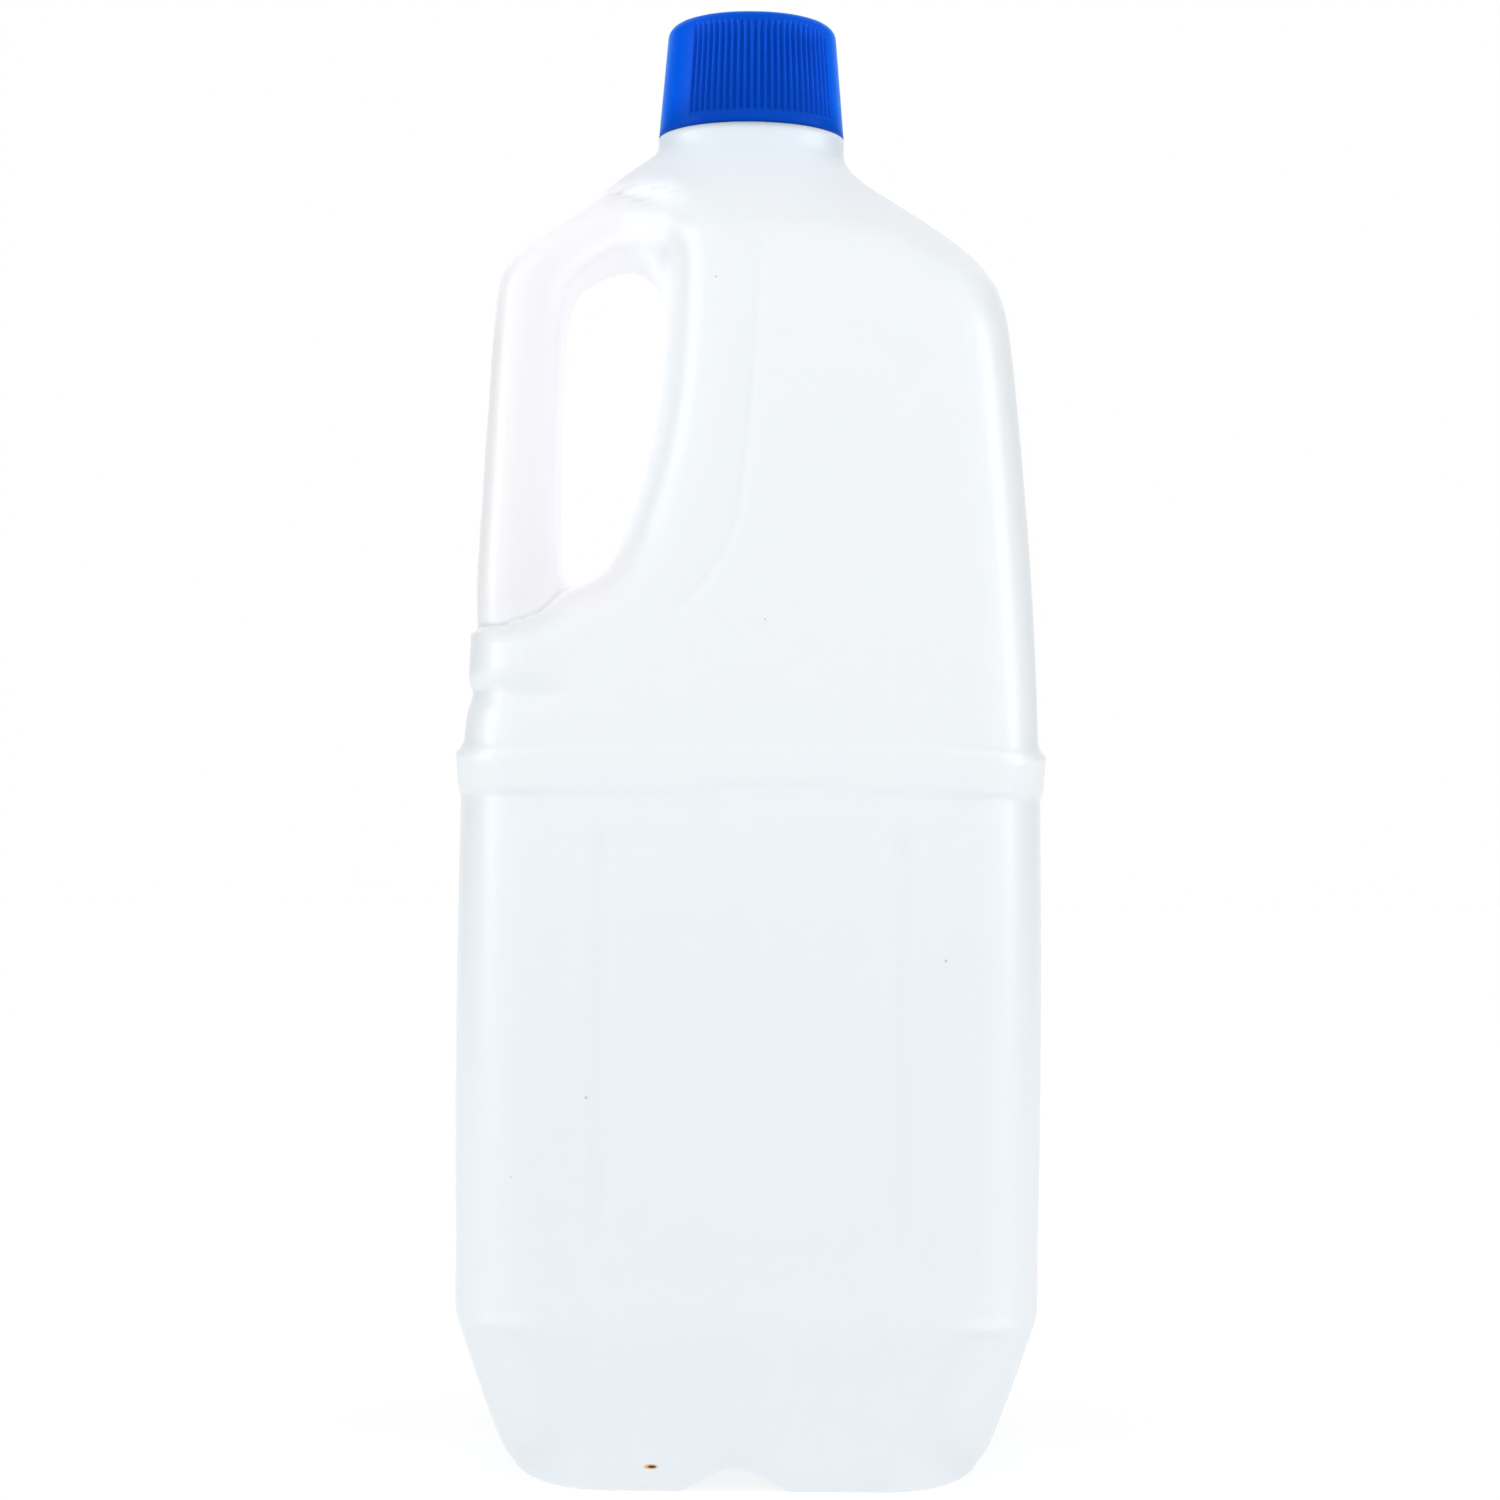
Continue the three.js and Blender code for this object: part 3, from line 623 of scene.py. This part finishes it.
# %% Move the cut edge onto an even line
EDGE_EVENING, NEAR_EVENING = 25, 12
rim = [cut[0].verts[0]]
edge = cut[0]
for _ in range(len(cut) - 1):
    rim.append(edge.other_vert(rim[-1]))
    edge = next(e for e in rim[-1].link_edges if e in cut and e is not edge)
place = hole_distance(flat_places(rim))[1]
turn = np.diff(np.append(place, place[0]))
turn -= len(HOLE) * np.round(turn / len(HOLE))
place = place[0] + np.concatenate([[0.0], np.cumsum(turn)[:-1]])
whole = len(HOLE) * np.sign(turn.sum())
for _ in range(EDGE_EVENING):
    before = np.append(place[-1] - whole, place[:-1])
    after = np.append(place[1:], place[0] + whole)
    place = 0.5 * place + 0.25 * (before + after)
foot, outward = on_hole(place)
snapped = foot + outward * RIM_WIDTH
for v, p in zip(rim, snapped):
    v.co.x, v.co.z = p
rim_set = set(rim)
near = [v for v in mesh.verts if v not in rim_set and not v.is_boundary and v.co.x < 0.0]
near = [v for v in near if HOLE_LOW - 2.0 < v.co.z < HOLE_HIGH + 2.0]
near = [v for v, d in zip(near, hole_distance(flat_places(near))[0]) if d < NEAR_RIM]
for _ in range(NEAR_EVENING):
    moved = [sum((e.other_vert(v).co for e in v.link_edges), Vector()) / len(v.link_edges) for v in near]
    for v, p in zip(near, moved):
        v.co.x, v.co.z = v.co.x * 0.5 + p.x * 0.5, v.co.z * 0.5 + p.z * 0.5
for group in (rim, near):
    spots = flat_places(group)
    for v, depth in zip(group, half_depth(spots[:, 0], spots[:, 1])):
        v.co.y = -depth
print("rim points:", len(rim), "points evened out near it:", len(near))

# %% Roll the edge in to the seam
RIM_RINGS = 9
RIM_FINENESS = 2.6
foot_of = {v: (f, o) for v, f, o in zip(rim, foot, outward)}
edge_loop = cut
for k in range(RIM_RINGS - 1, -1, -1):
    reach = RIM_WIDTH * (k / RIM_RINGS) ** RIM_FINENESS
    made = bmesh.ops.extrude_edge_only(mesh, edges=edge_loop)["geom"]
    new_edges = [g for g in made if isinstance(g, bmesh.types.BMEdge)]
    new_verts = [g for g in made if isinstance(g, bmesh.types.BMVert)]
    parents = {}
    for v in new_verts:
        for e in v.link_edges:
            other = e.other_vert(v)
            if other in foot_of and other not in parents.values():
                parents[v] = other
                break
    spots = np.array([foot_of[parents[v]][0] + foot_of[parents[v]][1] * reach for v in new_verts])
    depths = half_depth(spots[:, 0], spots[:, 1]) if k else np.zeros(len(spots))
    for v, p, depth in zip(new_verts, spots, depths):
        v.co = (p[0], -depth, p[1])
    foot_of = {v: foot_of[parents[v]] for v in new_verts}
    edge_loop = [e for e in new_edges if e.verts[0] in foot_of and e.verts[1] in foot_of]
mesh.to_mesh(bottle.data)
mesh.free()
print("rings:", RIM_RINGS, "faces now:", len(bottle.data.polygons))


# %% [markdown]
# The real bottle has two mould halves and a wall of nearly even thickness. The back could be
# pressed as a second sheet, but a Mirror modifier makes it and welds the two along the seam. The
# sheet is scaled to metres first, then its normals are made to point outwards, and a Solidify
# modifier gives the wall.

# %% Mirror, weld and give the wall its thickness
WALL = 0.8
SEAM_GAP, DOUBLES_GAP = 0.003, 0.004


def finish_mesh(obj):
    """Weld doubles, point the faces outwards and shade smooth."""
    only(obj)
    bpy.ops.object.mode_set(mode="EDIT")
    bpy.ops.mesh.select_all(action="SELECT")
    bpy.ops.mesh.remove_doubles(threshold=DOUBLES_GAP * MM)
    bpy.ops.mesh.dissolve_degenerate(threshold=DOUBLES_GAP * MM)
    bpy.ops.mesh.normals_make_consistent(inside=False)
    bpy.ops.object.mode_set(mode="OBJECT")
    bpy.ops.object.shade_smooth()


bottle.data.transform(Matrix.Scale(MM, 4))
apply_modifier(
    bottle, "MIRROR", use_axis=(False, True, False), use_clip=True, use_mirror_merge=True,
    merge_threshold=SEAM_GAP * MM,
)
finish_mesh(bottle)
skin = bottle.data.copy()
apply_modifier(bottle, "SOLIDIFY", thickness=WALL * MM, offset=-1.0, use_even_offset=False)
print("skin faces:", len(skin.polygons), "with the wall:", len(bottle.data.polygons))


# %% [markdown]
# Light from behind comes through the thin wall beside the finger hole, over the shelf and along
# the back of the handle's upper branch. Tracing it through the wall and the water would need far
# more samples, and a lamp behind the hole would also light the rest. So each point of the mesh
# carries one value, strongest at those edges, and the plastic gives off a weak light by it.

# %% Light through the edges
RIM_GLOW, BACK_GLOW, SHELF_GLOW = 0.18, 0.10, 0.045


def edge_glow(points):
    """How much light comes through the plastic near the edges of the handle and of the hole."""
    x, z = points[:, 0], points[:, 1]
    by_rim = to_line(x, z, HOLE, closed=True)[0].min(axis=1) / (1.7 + 0.8 * ease(z, 238.0, 248.0))
    by_back = to_line(x, z, GRIP_OUTER)[0].min(axis=1) / (1.8 + 1.2 * ease(z, 240.0, 256.0))
    by_shelf = to_line(x, z, by_hole[:, :2])[0].min(axis=1) / 4.0
    glow = RIM_GLOW * np.exp(-(by_rim ** 1.6))
    glow += BACK_GLOW * np.exp(-(by_back ** 2)) * (1.0 - ease(x, -20.0, -12.0)) * ease(z, 232.0, 246.0)
    on_shelf = (1.0 - ease(z, 184.0, 192.0)) * (1.0 - ease(x, -36.0, -28.0))
    glow += SHELF_GLOW * np.exp(-(by_shelf ** 2)) * on_shelf
    return glow * ease(z, 172.0, 178.0) * (1.0 - ease(z, 266.0, 271.0))


spots = np.array([v.co for v in bottle.data.vertices]) / MM
close = (spots[:, 0] < -4.0) & (spots[:, 2] > 172.0) & (spots[:, 2] < 271.0)
glow = np.zeros(len(spots))
glow[close] = edge_glow(spots[close][:, [0, 2]])
light_value = bottle.data.attributes.new("light_through", "FLOAT", "POINT")
light_value.data.foreach_set("value", glow.astype(np.float32))
print("points with light:", int((glow > 0.001).sum()), "strongest:", round(float(glow.max()), 3))
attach(bottle, BODY)
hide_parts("bottle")


# %% [markdown]
# The water has the shape of the inside, up to the foot of the neck. A Boolean with the inner wall
# could give it, but two surfaces in one place flicker. So a copy of the skin is drawn in by a
# little less than the wall. It reaches just into the plastic, no air gap shows, and it is cut
# level.

# %% Water
WATER_LEVEL = 270.0
WATER_INSET = 0.55
water = bpy.data.objects.new("water_fill", skin)
bpy.context.scene.collection.objects.link(water)
normals = np.array([v.normal for v in skin.vertices])
places = np.array([v.co for v in skin.vertices])
skin.vertices.foreach_set("co", (places - normals * WATER_INSET * MM).ravel())
only(water)
bpy.ops.object.mode_set(mode="EDIT")
bpy.ops.mesh.select_all(action="SELECT")
bpy.ops.mesh.bisect(plane_co=(0, 0, WATER_LEVEL * MM), plane_no=(0, 0, 1), use_fill=True, clear_outer=True)
bpy.ops.object.mode_set(mode="OBJECT")
finish_mesh(water)
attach(water, BODY)
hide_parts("water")
print("water faces:", len(water.data.polygons))


# %% [markdown]
# The cap is turned about the neck's axis: a plain band at the foot, one straight side that
# narrows a little, and a rounded crown. Fine ribs give fingers a grip. They stop at two smooth
# panels, one of which faces left. An Array of small bars could be joined to a plain cap, but the
# real ribs flow out of its side. So the rings of the side are pushed in between the ribs.

# %% Cap profile
CAP_BOTTOM, CAP_TOP = 280.4, 304.4
CAP_FOOT_R, CAP_CROWN_R, CAP_EDGE = 19.75, 17.95, 2.8
CAP_BAND = 2.6


def arc(radius, z, edge, steps):
    """A rounded edge from the side to the top, as [radius, height] points."""
    turns = np.linspace(0.0, math.pi / 2, steps + 1)
    return [(radius - edge + edge * math.cos(t), z - edge + edge * math.sin(t)) for t in turns]


rib_low, rib_high = CAP_BOTTOM + CAP_BAND, CAP_TOP - CAP_EDGE


def cone(z):
    """The cap's radius at a height: a straight, slightly narrowing side."""
    return CAP_FOOT_R + (CAP_CROWN_R - CAP_FOOT_R) * (z - CAP_BOTTOM) / (rib_high - CAP_BOTTOM)


cap_profile = [(NECK_R + 0.55, CAP_BOTTOM), (CAP_FOOT_R - 0.3, CAP_BOTTOM)]
band_heights = (CAP_BOTTOM + 0.3, CAP_BOTTOM + 1.4, rib_low - 0.15, rib_low + 0.25)
cap_profile += [(cone(z), z) for z in band_heights]
ribbed_from = len(cap_profile) - 1
cap_profile += [(cone(z), z) for z in np.linspace(rib_low, rib_high, 7)[1:-1]]
ribbed_to = len(cap_profile)
cap_profile += arc(CAP_CROWN_R, CAP_TOP, CAP_EDGE, 7)
cap_profile += [(12.0, CAP_TOP - 0.02), (6.0, CAP_TOP - 0.05), (0.6, CAP_TOP - 0.06)]
print("cap profile:", len(cap_profile), "points, ribs on", ribbed_from, "to", ribbed_to)

# %% Stack the rings of the cap and close its crown
RIB_COUNT = 84
POINTS_A_RIB = 8
sides = RIB_COUNT * POINTS_A_RIB
deselect()
bpy.ops.mesh.primitive_cylinder_add(vertices=sides, radius=1.0, depth=1.0, end_fill_type="NOTHING")
cap = bpy.context.object
cap.name = "cap_shell"
shape = bmesh.new()
shape.from_mesh(cap.data)
bmesh.ops.delete(shape, geom=[v for v in shape.verts if v.co.z > 0], context="VERTS")
ring_edges = list(shape.edges)
for level in range(1, len(cap_profile)):
    made = bmesh.ops.extrude_edge_only(shape, edges=ring_edges)["geom"]
    ring_edges = [g for g in made if isinstance(g, bmesh.types.BMEdge) and all(v in made for v in g.verts)]
    for v in [g for g in made if isinstance(g, bmesh.types.BMVert)]:
        v.co.z = -0.5 + level
bmesh.ops.contextual_create(shape, geom=ring_edges)
print("rings:", len(cap_profile), "points in each:", sides)

# %% Push the ribs in and give the cap its wall
CAP_WALL = 0.8
RIB_DEPTH = 0.65
CROWN_RIB_SHARE = 0.6
PANELS = [(-120.0, -42.0), (60.0, 138.0)]


def rib_in(degrees):
    """How far the side is pushed in at an angle from the front, positive to the right."""
    phase = (degrees / 360.0 * RIB_COUNT) % 1.0
    valley = 0.5 - 0.5 * math.cos(2 * math.pi * phase)
    for low, high in PANELS:
        if low < degrees < high:
            return 0.0
    return RIB_DEPTH * valley ** 1.5


for v in shape.verts:
    level = int(round(v.co.z + 0.5))
    radius, z = cap_profile[level]
    angle = math.atan2(v.co.y, v.co.x)
    degrees = math.degrees(math.atan2(v.co.x, -v.co.y))
    if ribbed_from <= level < ribbed_to:
        radius -= rib_in(degrees)
    elif level == ribbed_to:
        radius -= CROWN_RIB_SHARE * rib_in(degrees)
    v.co = (NECK_X + radius * math.cos(angle), radius * math.sin(angle), z)
shape.to_mesh(cap.data)
shape.free()
cap.data.transform(Matrix.Scale(MM, 4))
finish_mesh(cap)
apply_modifier(cap, "SOLIDIFY", thickness=CAP_WALL * MM, offset=-1.0)
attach(cap, BODY)
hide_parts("cap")
print("cap faces:", len(cap.data.polygons))


# %% [markdown]
# A few small functions make the nodes that the three materials share: noises, ramps, mixes and a
# bump. The nodes could be wired by hand each time, but then the numbers would be hard to find.

# %% Material helpers
def new_material(name):
    """A material with its nodes and links."""
    material = bpy.data.materials.new(name)
    material.use_nodes = True
    return material, material.node_tree.nodes, material.node_tree.links


def noise(nodes, links, coordinates, scale, detail=2.0):
    """A noise over the surface, from 0 to 1."""
    node = nodes.new("ShaderNodeTexNoise")
    node.inputs["Scale"].default_value = scale
    node.inputs["Detail"].default_value = detail
    links.new(coordinates, node.inputs["Vector"])
    return node.outputs["Fac"]


def ramp(nodes, links, value, low, high, from_min=0.3, from_max=0.7):
    """Carry a value from one range to another."""
    node = nodes.new("ShaderNodeMapRange")
    node.inputs["From Min"].default_value = from_min
    node.inputs["From Max"].default_value = from_max
    node.inputs["To Min"].default_value = low
    node.inputs["To Max"].default_value = high
    links.new(value, node.inputs["Value"])
    return node.outputs["Result"]


def mix_colour(nodes, links, factor, first, second):
    """Mix two colours by a value. Each is fixed or comes from another node."""
    node = nodes.new("ShaderNodeMix")
    node.data_type = "RGBA"
    links.new(factor, node.inputs["Factor"])
    for name, colour in (("A", first), ("B", second)):
        if isinstance(colour, tuple):
            node.inputs[name].default_value = (*colour, 1.0)
        else:
            links.new(colour, node.inputs[name])
    return node.outputs["Result"]


def bump(nodes, links, height, distance, strength=1.0):
    """Turn a value into small relief."""
    node = nodes.new("ShaderNodeBump")
    node.inputs["Distance"].default_value = distance
    node.inputs["Strength"].default_value = strength
    links.new(height, node.inputs["Height"])
    return node.outputs["Normal"]


def vector_math(nodes, links, operation, value, by=None):
    """One step of sums with places."""
    node = nodes.new("ShaderNodeVectorMath")
    node.operation = operation
    links.new(value, node.inputs[0])
    if by is not None:
        node.inputs[1].default_value = by
    return node


# %% [markdown]
# Natural polyethylene is milky: light goes a little way in, spreads and comes out again, and the
# skin has a soft gloss. Translucent and glossy shaders could be mixed for it, but a Principled
# shader with subsurface scattering does both. Its tone is bluer low down and warmer on the handle.
# Under the cap the neck is darker and bluer: that is painted shade and painted blue light from the
# cap. Two weak noises keep it from looking like plaster: a broad one for the uneven wall, and a
# fine one for the sandblasted mould.

# %% Tones of the milky polyethylene
HANDLE_RIGHT = (-0.031, -0.023)
HANDLE_FOOT = (0.174, 0.183)
LOW_BODY = (0.115, 0.160)
# Heights over which the neck takes the painted shade and painted blue light of the cap.
CAP_SHADE_HEIGHTS = (0.262, 0.280)
BROAD_SCALE, FINE_SCALE = 14.0, 900.0
UPPER_TONES = (0.745, 0.793, 0.829), (0.765, 0.808, 0.841)
LOWER_TONES = (0.714, 0.777, 0.832), (0.736, 0.791, 0.844)
HANDLE_TONES = (0.800, 0.787, 0.824), (0.812, 0.800, 0.834)
# Darker, bluer tones of the neck under the cap: painted shade and painted blue light from the cap.
NECK_SHADE_TONES = (0.645, 0.720, 0.815), (0.665, 0.740, 0.830)
plastic, nodes, links = new_material("milky_polyethylene")
shader = nodes["Principled BSDF"]
where = nodes.new("ShaderNodeTexCoord").outputs["Object"]
broad = noise(nodes, links, where, BROAD_SCALE)
fine = noise(nodes, links, where, FINE_SCALE, 3.0)
part = nodes.new("ShaderNodeSeparateXYZ")
links.new(where, part.inputs[0])
at_left = ramp(nodes, links, part.outputs["X"], 1.0, 0.0, *HANDLE_RIGHT)
up_high = ramp(nodes, links, part.outputs["Z"], 0.0, 1.0, *HANDLE_FOOT)
handle_share = nodes.new("ShaderNodeMath")
handle_share.operation = "MULTIPLY"
links.new(at_left, handle_share.inputs[0])
links.new(up_high, handle_share.inputs[1])
low_share = ramp(nodes, links, part.outputs["Z"], 1.0, 0.0, *LOW_BODY)
upper_body = mix_colour(nodes, links, broad, *UPPER_TONES)
lower_body = mix_colour(nodes, links, broad, *LOWER_TONES)
handle_tone = mix_colour(nodes, links, broad, *HANDLE_TONES)
body_tone = mix_colour(nodes, links, low_share, upper_body, lower_body)
tone = mix_colour(nodes, links, handle_share.outputs[0], body_tone, handle_tone)
# Painted shade and painted blue light from the cap, on the neck just under it.
cap_shade_share = ramp(nodes, links, part.outputs["Z"], 0.0, 1.0, *CAP_SHADE_HEIGHTS)
neck_shade_tone = mix_colour(nodes, links, broad, *NECK_SHADE_TONES)
tone = mix_colour(nodes, links, cap_shade_share, tone, neck_shade_tone)
print("nodes for the tones:", len(nodes))


# %% [markdown]
# A few small spots of dirt sit on the bottle. They could be tiny meshes on the surface, but they
# are flat stains. So each is a soft round place in the colour, stretched sideways where the real
# one is.

# %% Specks of dirt
def speck(tone, place, size, colour, stretch=1.0):
    """A small spot of dirt at a place of the surface, all in millimetres."""
    shift = vector_math(nodes, links, "SUBTRACT", where, [v * MM for v in place])
    squeeze = vector_math(nodes, links, "MULTIPLY", shift.outputs[0], (1.0 / stretch, 0.3, 1.0))
    length = vector_math(nodes, links, "LENGTH", squeeze.outputs[0])
    share = ramp(nodes, links, length.outputs["Value"], 1.0, 0.0, 0.6 * size * MM, size * MM)
    return mix_colour(nodes, links, share, tone, colour)


SPECKS = [
    ((-18.9, -36.0, 4.9), 0.62, (0.72, 0.36, 0.10), 2.8),
    ((-18.7, -36.0, 4.9), 0.34, (0.02, 0.015, 0.01), 3.0),
    ((39.4, -40.4, 106.9), 0.40, (0.42, 0.46, 0.54), 0.7),
    ((-32.4, -40.3, 79.0), 0.34, (0.62, 0.46, 0.46), 1.3),
    ((-47.3, -40.1, 63.1), 0.24, (0.56, 0.58, 0.62), 1.0),
    ((-7.9, -34.8, 245.2), 0.28, (0.52, 0.54, 0.58), 1.0),
    ((2.6, -39.7, 175.2), 0.28, (0.55, 0.58, 0.62), 1.0),
]
for spot in SPECKS:
    tone = speck(tone, *spot)
links.new(tone, shader.inputs["Base Color"])
print("specks:", len(SPECKS))

# %% Gloss, depth and light of the polyethylene
PLASTIC_ROUGHNESS = (0.28, 0.36)
PLASTIC_GRAIN = 0.00002
links.new(ramp(nodes, links, fine, *PLASTIC_ROUGHNESS), shader.inputs["Roughness"])
links.new(bump(nodes, links, fine, PLASTIC_GRAIN, 0.5), shader.inputs["Normal"])
light_through = nodes.new("ShaderNodeAttribute")
light_through.attribute_name = "light_through"
links.new(light_through.outputs["Fac"], shader.inputs["Emission Strength"])
shader.inputs["Emission Color"].default_value = (1.0, 0.975, 1.0, 1.0)
shader.inputs["IOR"].default_value = 1.5
shader.inputs["Subsurface Weight"].default_value = 0.4
shader.inputs["Subsurface Radius"].default_value = (0.95, 1.0, 1.05)
shader.inputs["Subsurface Scale"].default_value = 0.004
bottle.data.materials.clear()
bottle.data.materials.append(plastic)
print("material:", plastic.name, "with", len(nodes), "nodes")


# %% [markdown]
# Distilled water is clear, with a trace of blue where it is deep. A Glass shader would do. A
# Principled shader with full transmission gives the same and keeps the three materials alike. A
# broad noise varies the tint and the gloss a little.

# %% Water material
WATER_TONES = (0.94, 0.975, 1.0), (0.96, 0.985, 1.0)
liquid, nodes, links = new_material("still_water")
shader = nodes["Principled BSDF"]
where = nodes.new("ShaderNodeTexCoord").outputs["Object"]
depth_tint = noise(nodes, links, where, 8.0)
links.new(mix_colour(nodes, links, depth_tint, *WATER_TONES), shader.inputs["Base Color"])
links.new(ramp(nodes, links, depth_tint, 0.015, 0.03), shader.inputs["Roughness"])
shader.inputs["IOR"].default_value = 1.333
shader.inputs["Transmission Weight"].default_value = 1.0
water.data.materials.clear()
water.data.materials.append(liquid)
print("material:", liquid.name, "with", len(nodes), "nodes")


# %% [markdown]
# The cap is blue polypropylene, with a deep colour and a matt grain. Its ribs catch a lighter blue
# where they turn away. Light under the skin could give that too, but it would soften the ribs. So
# a tinted sheen is laid over a skin with little gloss, and a fine noise gives the grain.

# %% Blue cap plastic
CAP_TONES = (0.0, 0.042, 0.37), (0.0, 0.054, 0.43)
CAP_ROUGHNESS = (0.26, 0.36)
CAP_GRAIN, CAP_GRAIN_SCALE, CAP_TINT_SCALE = 0.00003, 700.0, 60.0
blue, nodes, links = new_material("blue_polypropylene")
shader = nodes["Principled BSDF"]
where = nodes.new("ShaderNodeTexCoord").outputs["Object"]
grain = noise(nodes, links, where, CAP_GRAIN_SCALE, 3.0)
tint = noise(nodes, links, where, CAP_TINT_SCALE)
links.new(mix_colour(nodes, links, tint, *CAP_TONES), shader.inputs["Base Color"])
links.new(ramp(nodes, links, grain, *CAP_ROUGHNESS), shader.inputs["Roughness"])
shader.inputs["Specular IOR Level"].default_value = 0.03
shader.inputs["Sheen Weight"].default_value = 0.9
shader.inputs["Sheen Roughness"].default_value = 0.3
shader.inputs["Sheen Tint"].default_value = (0.0, 0.40, 1.0, 1.0)
links.new(bump(nodes, links, grain, CAP_GRAIN, 0.4), shader.inputs["Normal"])
cap.data.materials.clear()
cap.data.materials.append(blue)
print("material:", blue.name, "with", len(nodes), "nodes")


# %% [markdown]
# The bottle stands on a pale floor under a white room. A strong lamp from below could make the
# floor as white as in the photograph, but it would also shine through the bottle. So the floor
# gives off a little light of its own. It lies just under the foot.

# %% Floor
FLOOR_SIZE, FLOOR_DROP = 12.0, 0.0002
FLOOR_GREY = 0.30
TABLE_GLOW = 0.68
deselect()
bpy.ops.mesh.primitive_plane_add(size=FLOOR_SIZE, location=(0, 0, -FLOOR_DROP))
floor = bpy.context.object
floor.name = "floor"
pale, nodes, links = new_material("pale_floor")
shader = nodes["Principled BSDF"]
shader.inputs["Base Color"].default_value = (FLOOR_GREY, FLOOR_GREY, FLOOR_GREY, 1.0)
shader.inputs["Roughness"].default_value = 0.9
shader.inputs["Emission Color"].default_value = (1.0, 1.0, 1.0, 1.0)
shader.inputs["Emission Strength"].default_value = TABLE_GLOW
floor.data.materials.append(pale)
print("floor:", FLOOR_SIZE, "m wide")


# %% [markdown]
# The room is brightest in front. Behind the bottle it is white in the middle and dark far to the
# sides, which draws the soft grey line that the photograph has along the bottle's outline. Dark
# cards beside the bottle could do the same, but they would also throw shadows on the floor. So
# the brightness depends on the direction alone.

# %% White room
FRONT, FRONT_SIDES, BEHIND, BEHIND_SIDES, OVERHEAD = 1.70, 1.3, 1.0, 0.0, 0.88
FRONT_TURN, BEHIND_TURN, ROUND_TURN, UP_TURN = (0.35, 0.85), (0.35, 0.70), (-0.2, 0.1), (0.45, 0.8)
world = bpy.data.worlds.new("white_room")
bpy.context.scene.world = world
world.use_nodes = True
nodes, links = world.node_tree.nodes, world.node_tree.links
direction = nodes.new("ShaderNodeTexCoord").outputs["Generated"]
split = nodes.new("ShaderNodeSeparateXYZ")
links.new(direction, split.inputs[0])


def magnitude(value):
    """A value without its sign."""
    node = nodes.new("ShaderNodeMath")
    node.operation = "ABSOLUTE"
    links.new(value, node.inputs[0])
    return node.outputs[0]


def blend(factor, first, second):
    """Mix two brightnesses, each a number or a link."""
    node = nodes.new("ShaderNodeMix")
    for name, value in (("Factor", factor), ("A", first), ("B", second)):
        if isinstance(value, float):
            node.inputs[name].default_value = value
        else:
            links.new(value, node.inputs[name])
    return node.outputs["Result"]


sideways = magnitude(split.outputs["X"])
in_front = ramp(nodes, links, sideways, FRONT, FRONT_SIDES, *FRONT_TURN)
behind = ramp(nodes, links, sideways, BEHIND, BEHIND_SIDES, *BEHIND_TURN)
around = blend(ramp(nodes, links, split.outputs["Y"], 0.0, 1.0, *ROUND_TURN), in_front, behind)
level = blend(ramp(nodes, links, split.outputs["Z"], 0.0, 1.0, *UP_TURN), around, OVERHEAD)
links.new(level, nodes["Background"].inputs["Strength"])
nodes["Background"].inputs["Color"].default_value = (1.0, 1.0, 1.0, 1.0)
print("room:", world.name, "with", len(nodes), "nodes")


# %% [markdown]
# Two large soft boxes stand to the left and right, a little in front. They brighten the rounded
# corners. The cap's sides are lighter than the room alone makes them. A wider lamp for them would
# also flood the shoulder, so two narrow beams are aimed at the cap and cover nothing below it.

# %% Soft boxes and beams
BOX_POWER = 2.5
BOX_PLACE, BOX_AIM, BOX_SIZE = (1.0, -0.14, 0.42), (0, 0, 0.2), (0.5, 0.6)
CAP_POWER = 11.0
CAP_BEAM, CAP_BLEND, CAP_LAMP_RADIUS = 4.4, 0.25, 0.004
CAP_LAMP_PLACE, CAP_AIM = (0.6, -0.10, 0.34), (0, 0, 0.3025)


def add_lamp(name, data, place, target):
    """Put a lamp at a place and turn it to a target."""
    lamp = bpy.data.objects.new(name, data)
    lamp.location = place
    lamp.rotation_euler = (Vector(target) - Vector(place)).to_track_quat("-Z", "Y").to_euler()
    bpy.context.scene.collection.objects.link(lamp)


for name, side in (("box_left", -1), ("box_right", 1)):
    box = bpy.data.lights.new(name, "AREA")
    box.shape = "RECTANGLE"
    box.size, box.size_y = BOX_SIZE
    box.energy = BOX_POWER
    add_lamp(name, box, (side * BOX_PLACE[0], *BOX_PLACE[1:]), BOX_AIM)
for side in (-1, 1):
    beam = bpy.data.lights.new("cap_beam", "SPOT")
    beam.energy = CAP_POWER
    beam.spot_size = math.radians(CAP_BEAM)
    beam.spot_blend = CAP_BLEND
    beam.shadow_soft_size = CAP_LAMP_RADIUS
    add_lamp("cap_beam", beam, (side * CAP_LAMP_PLACE[0], *CAP_LAMP_PLACE[1:]), CAP_AIM)
bpy.context.scene.view_settings.view_transform = "Standard"
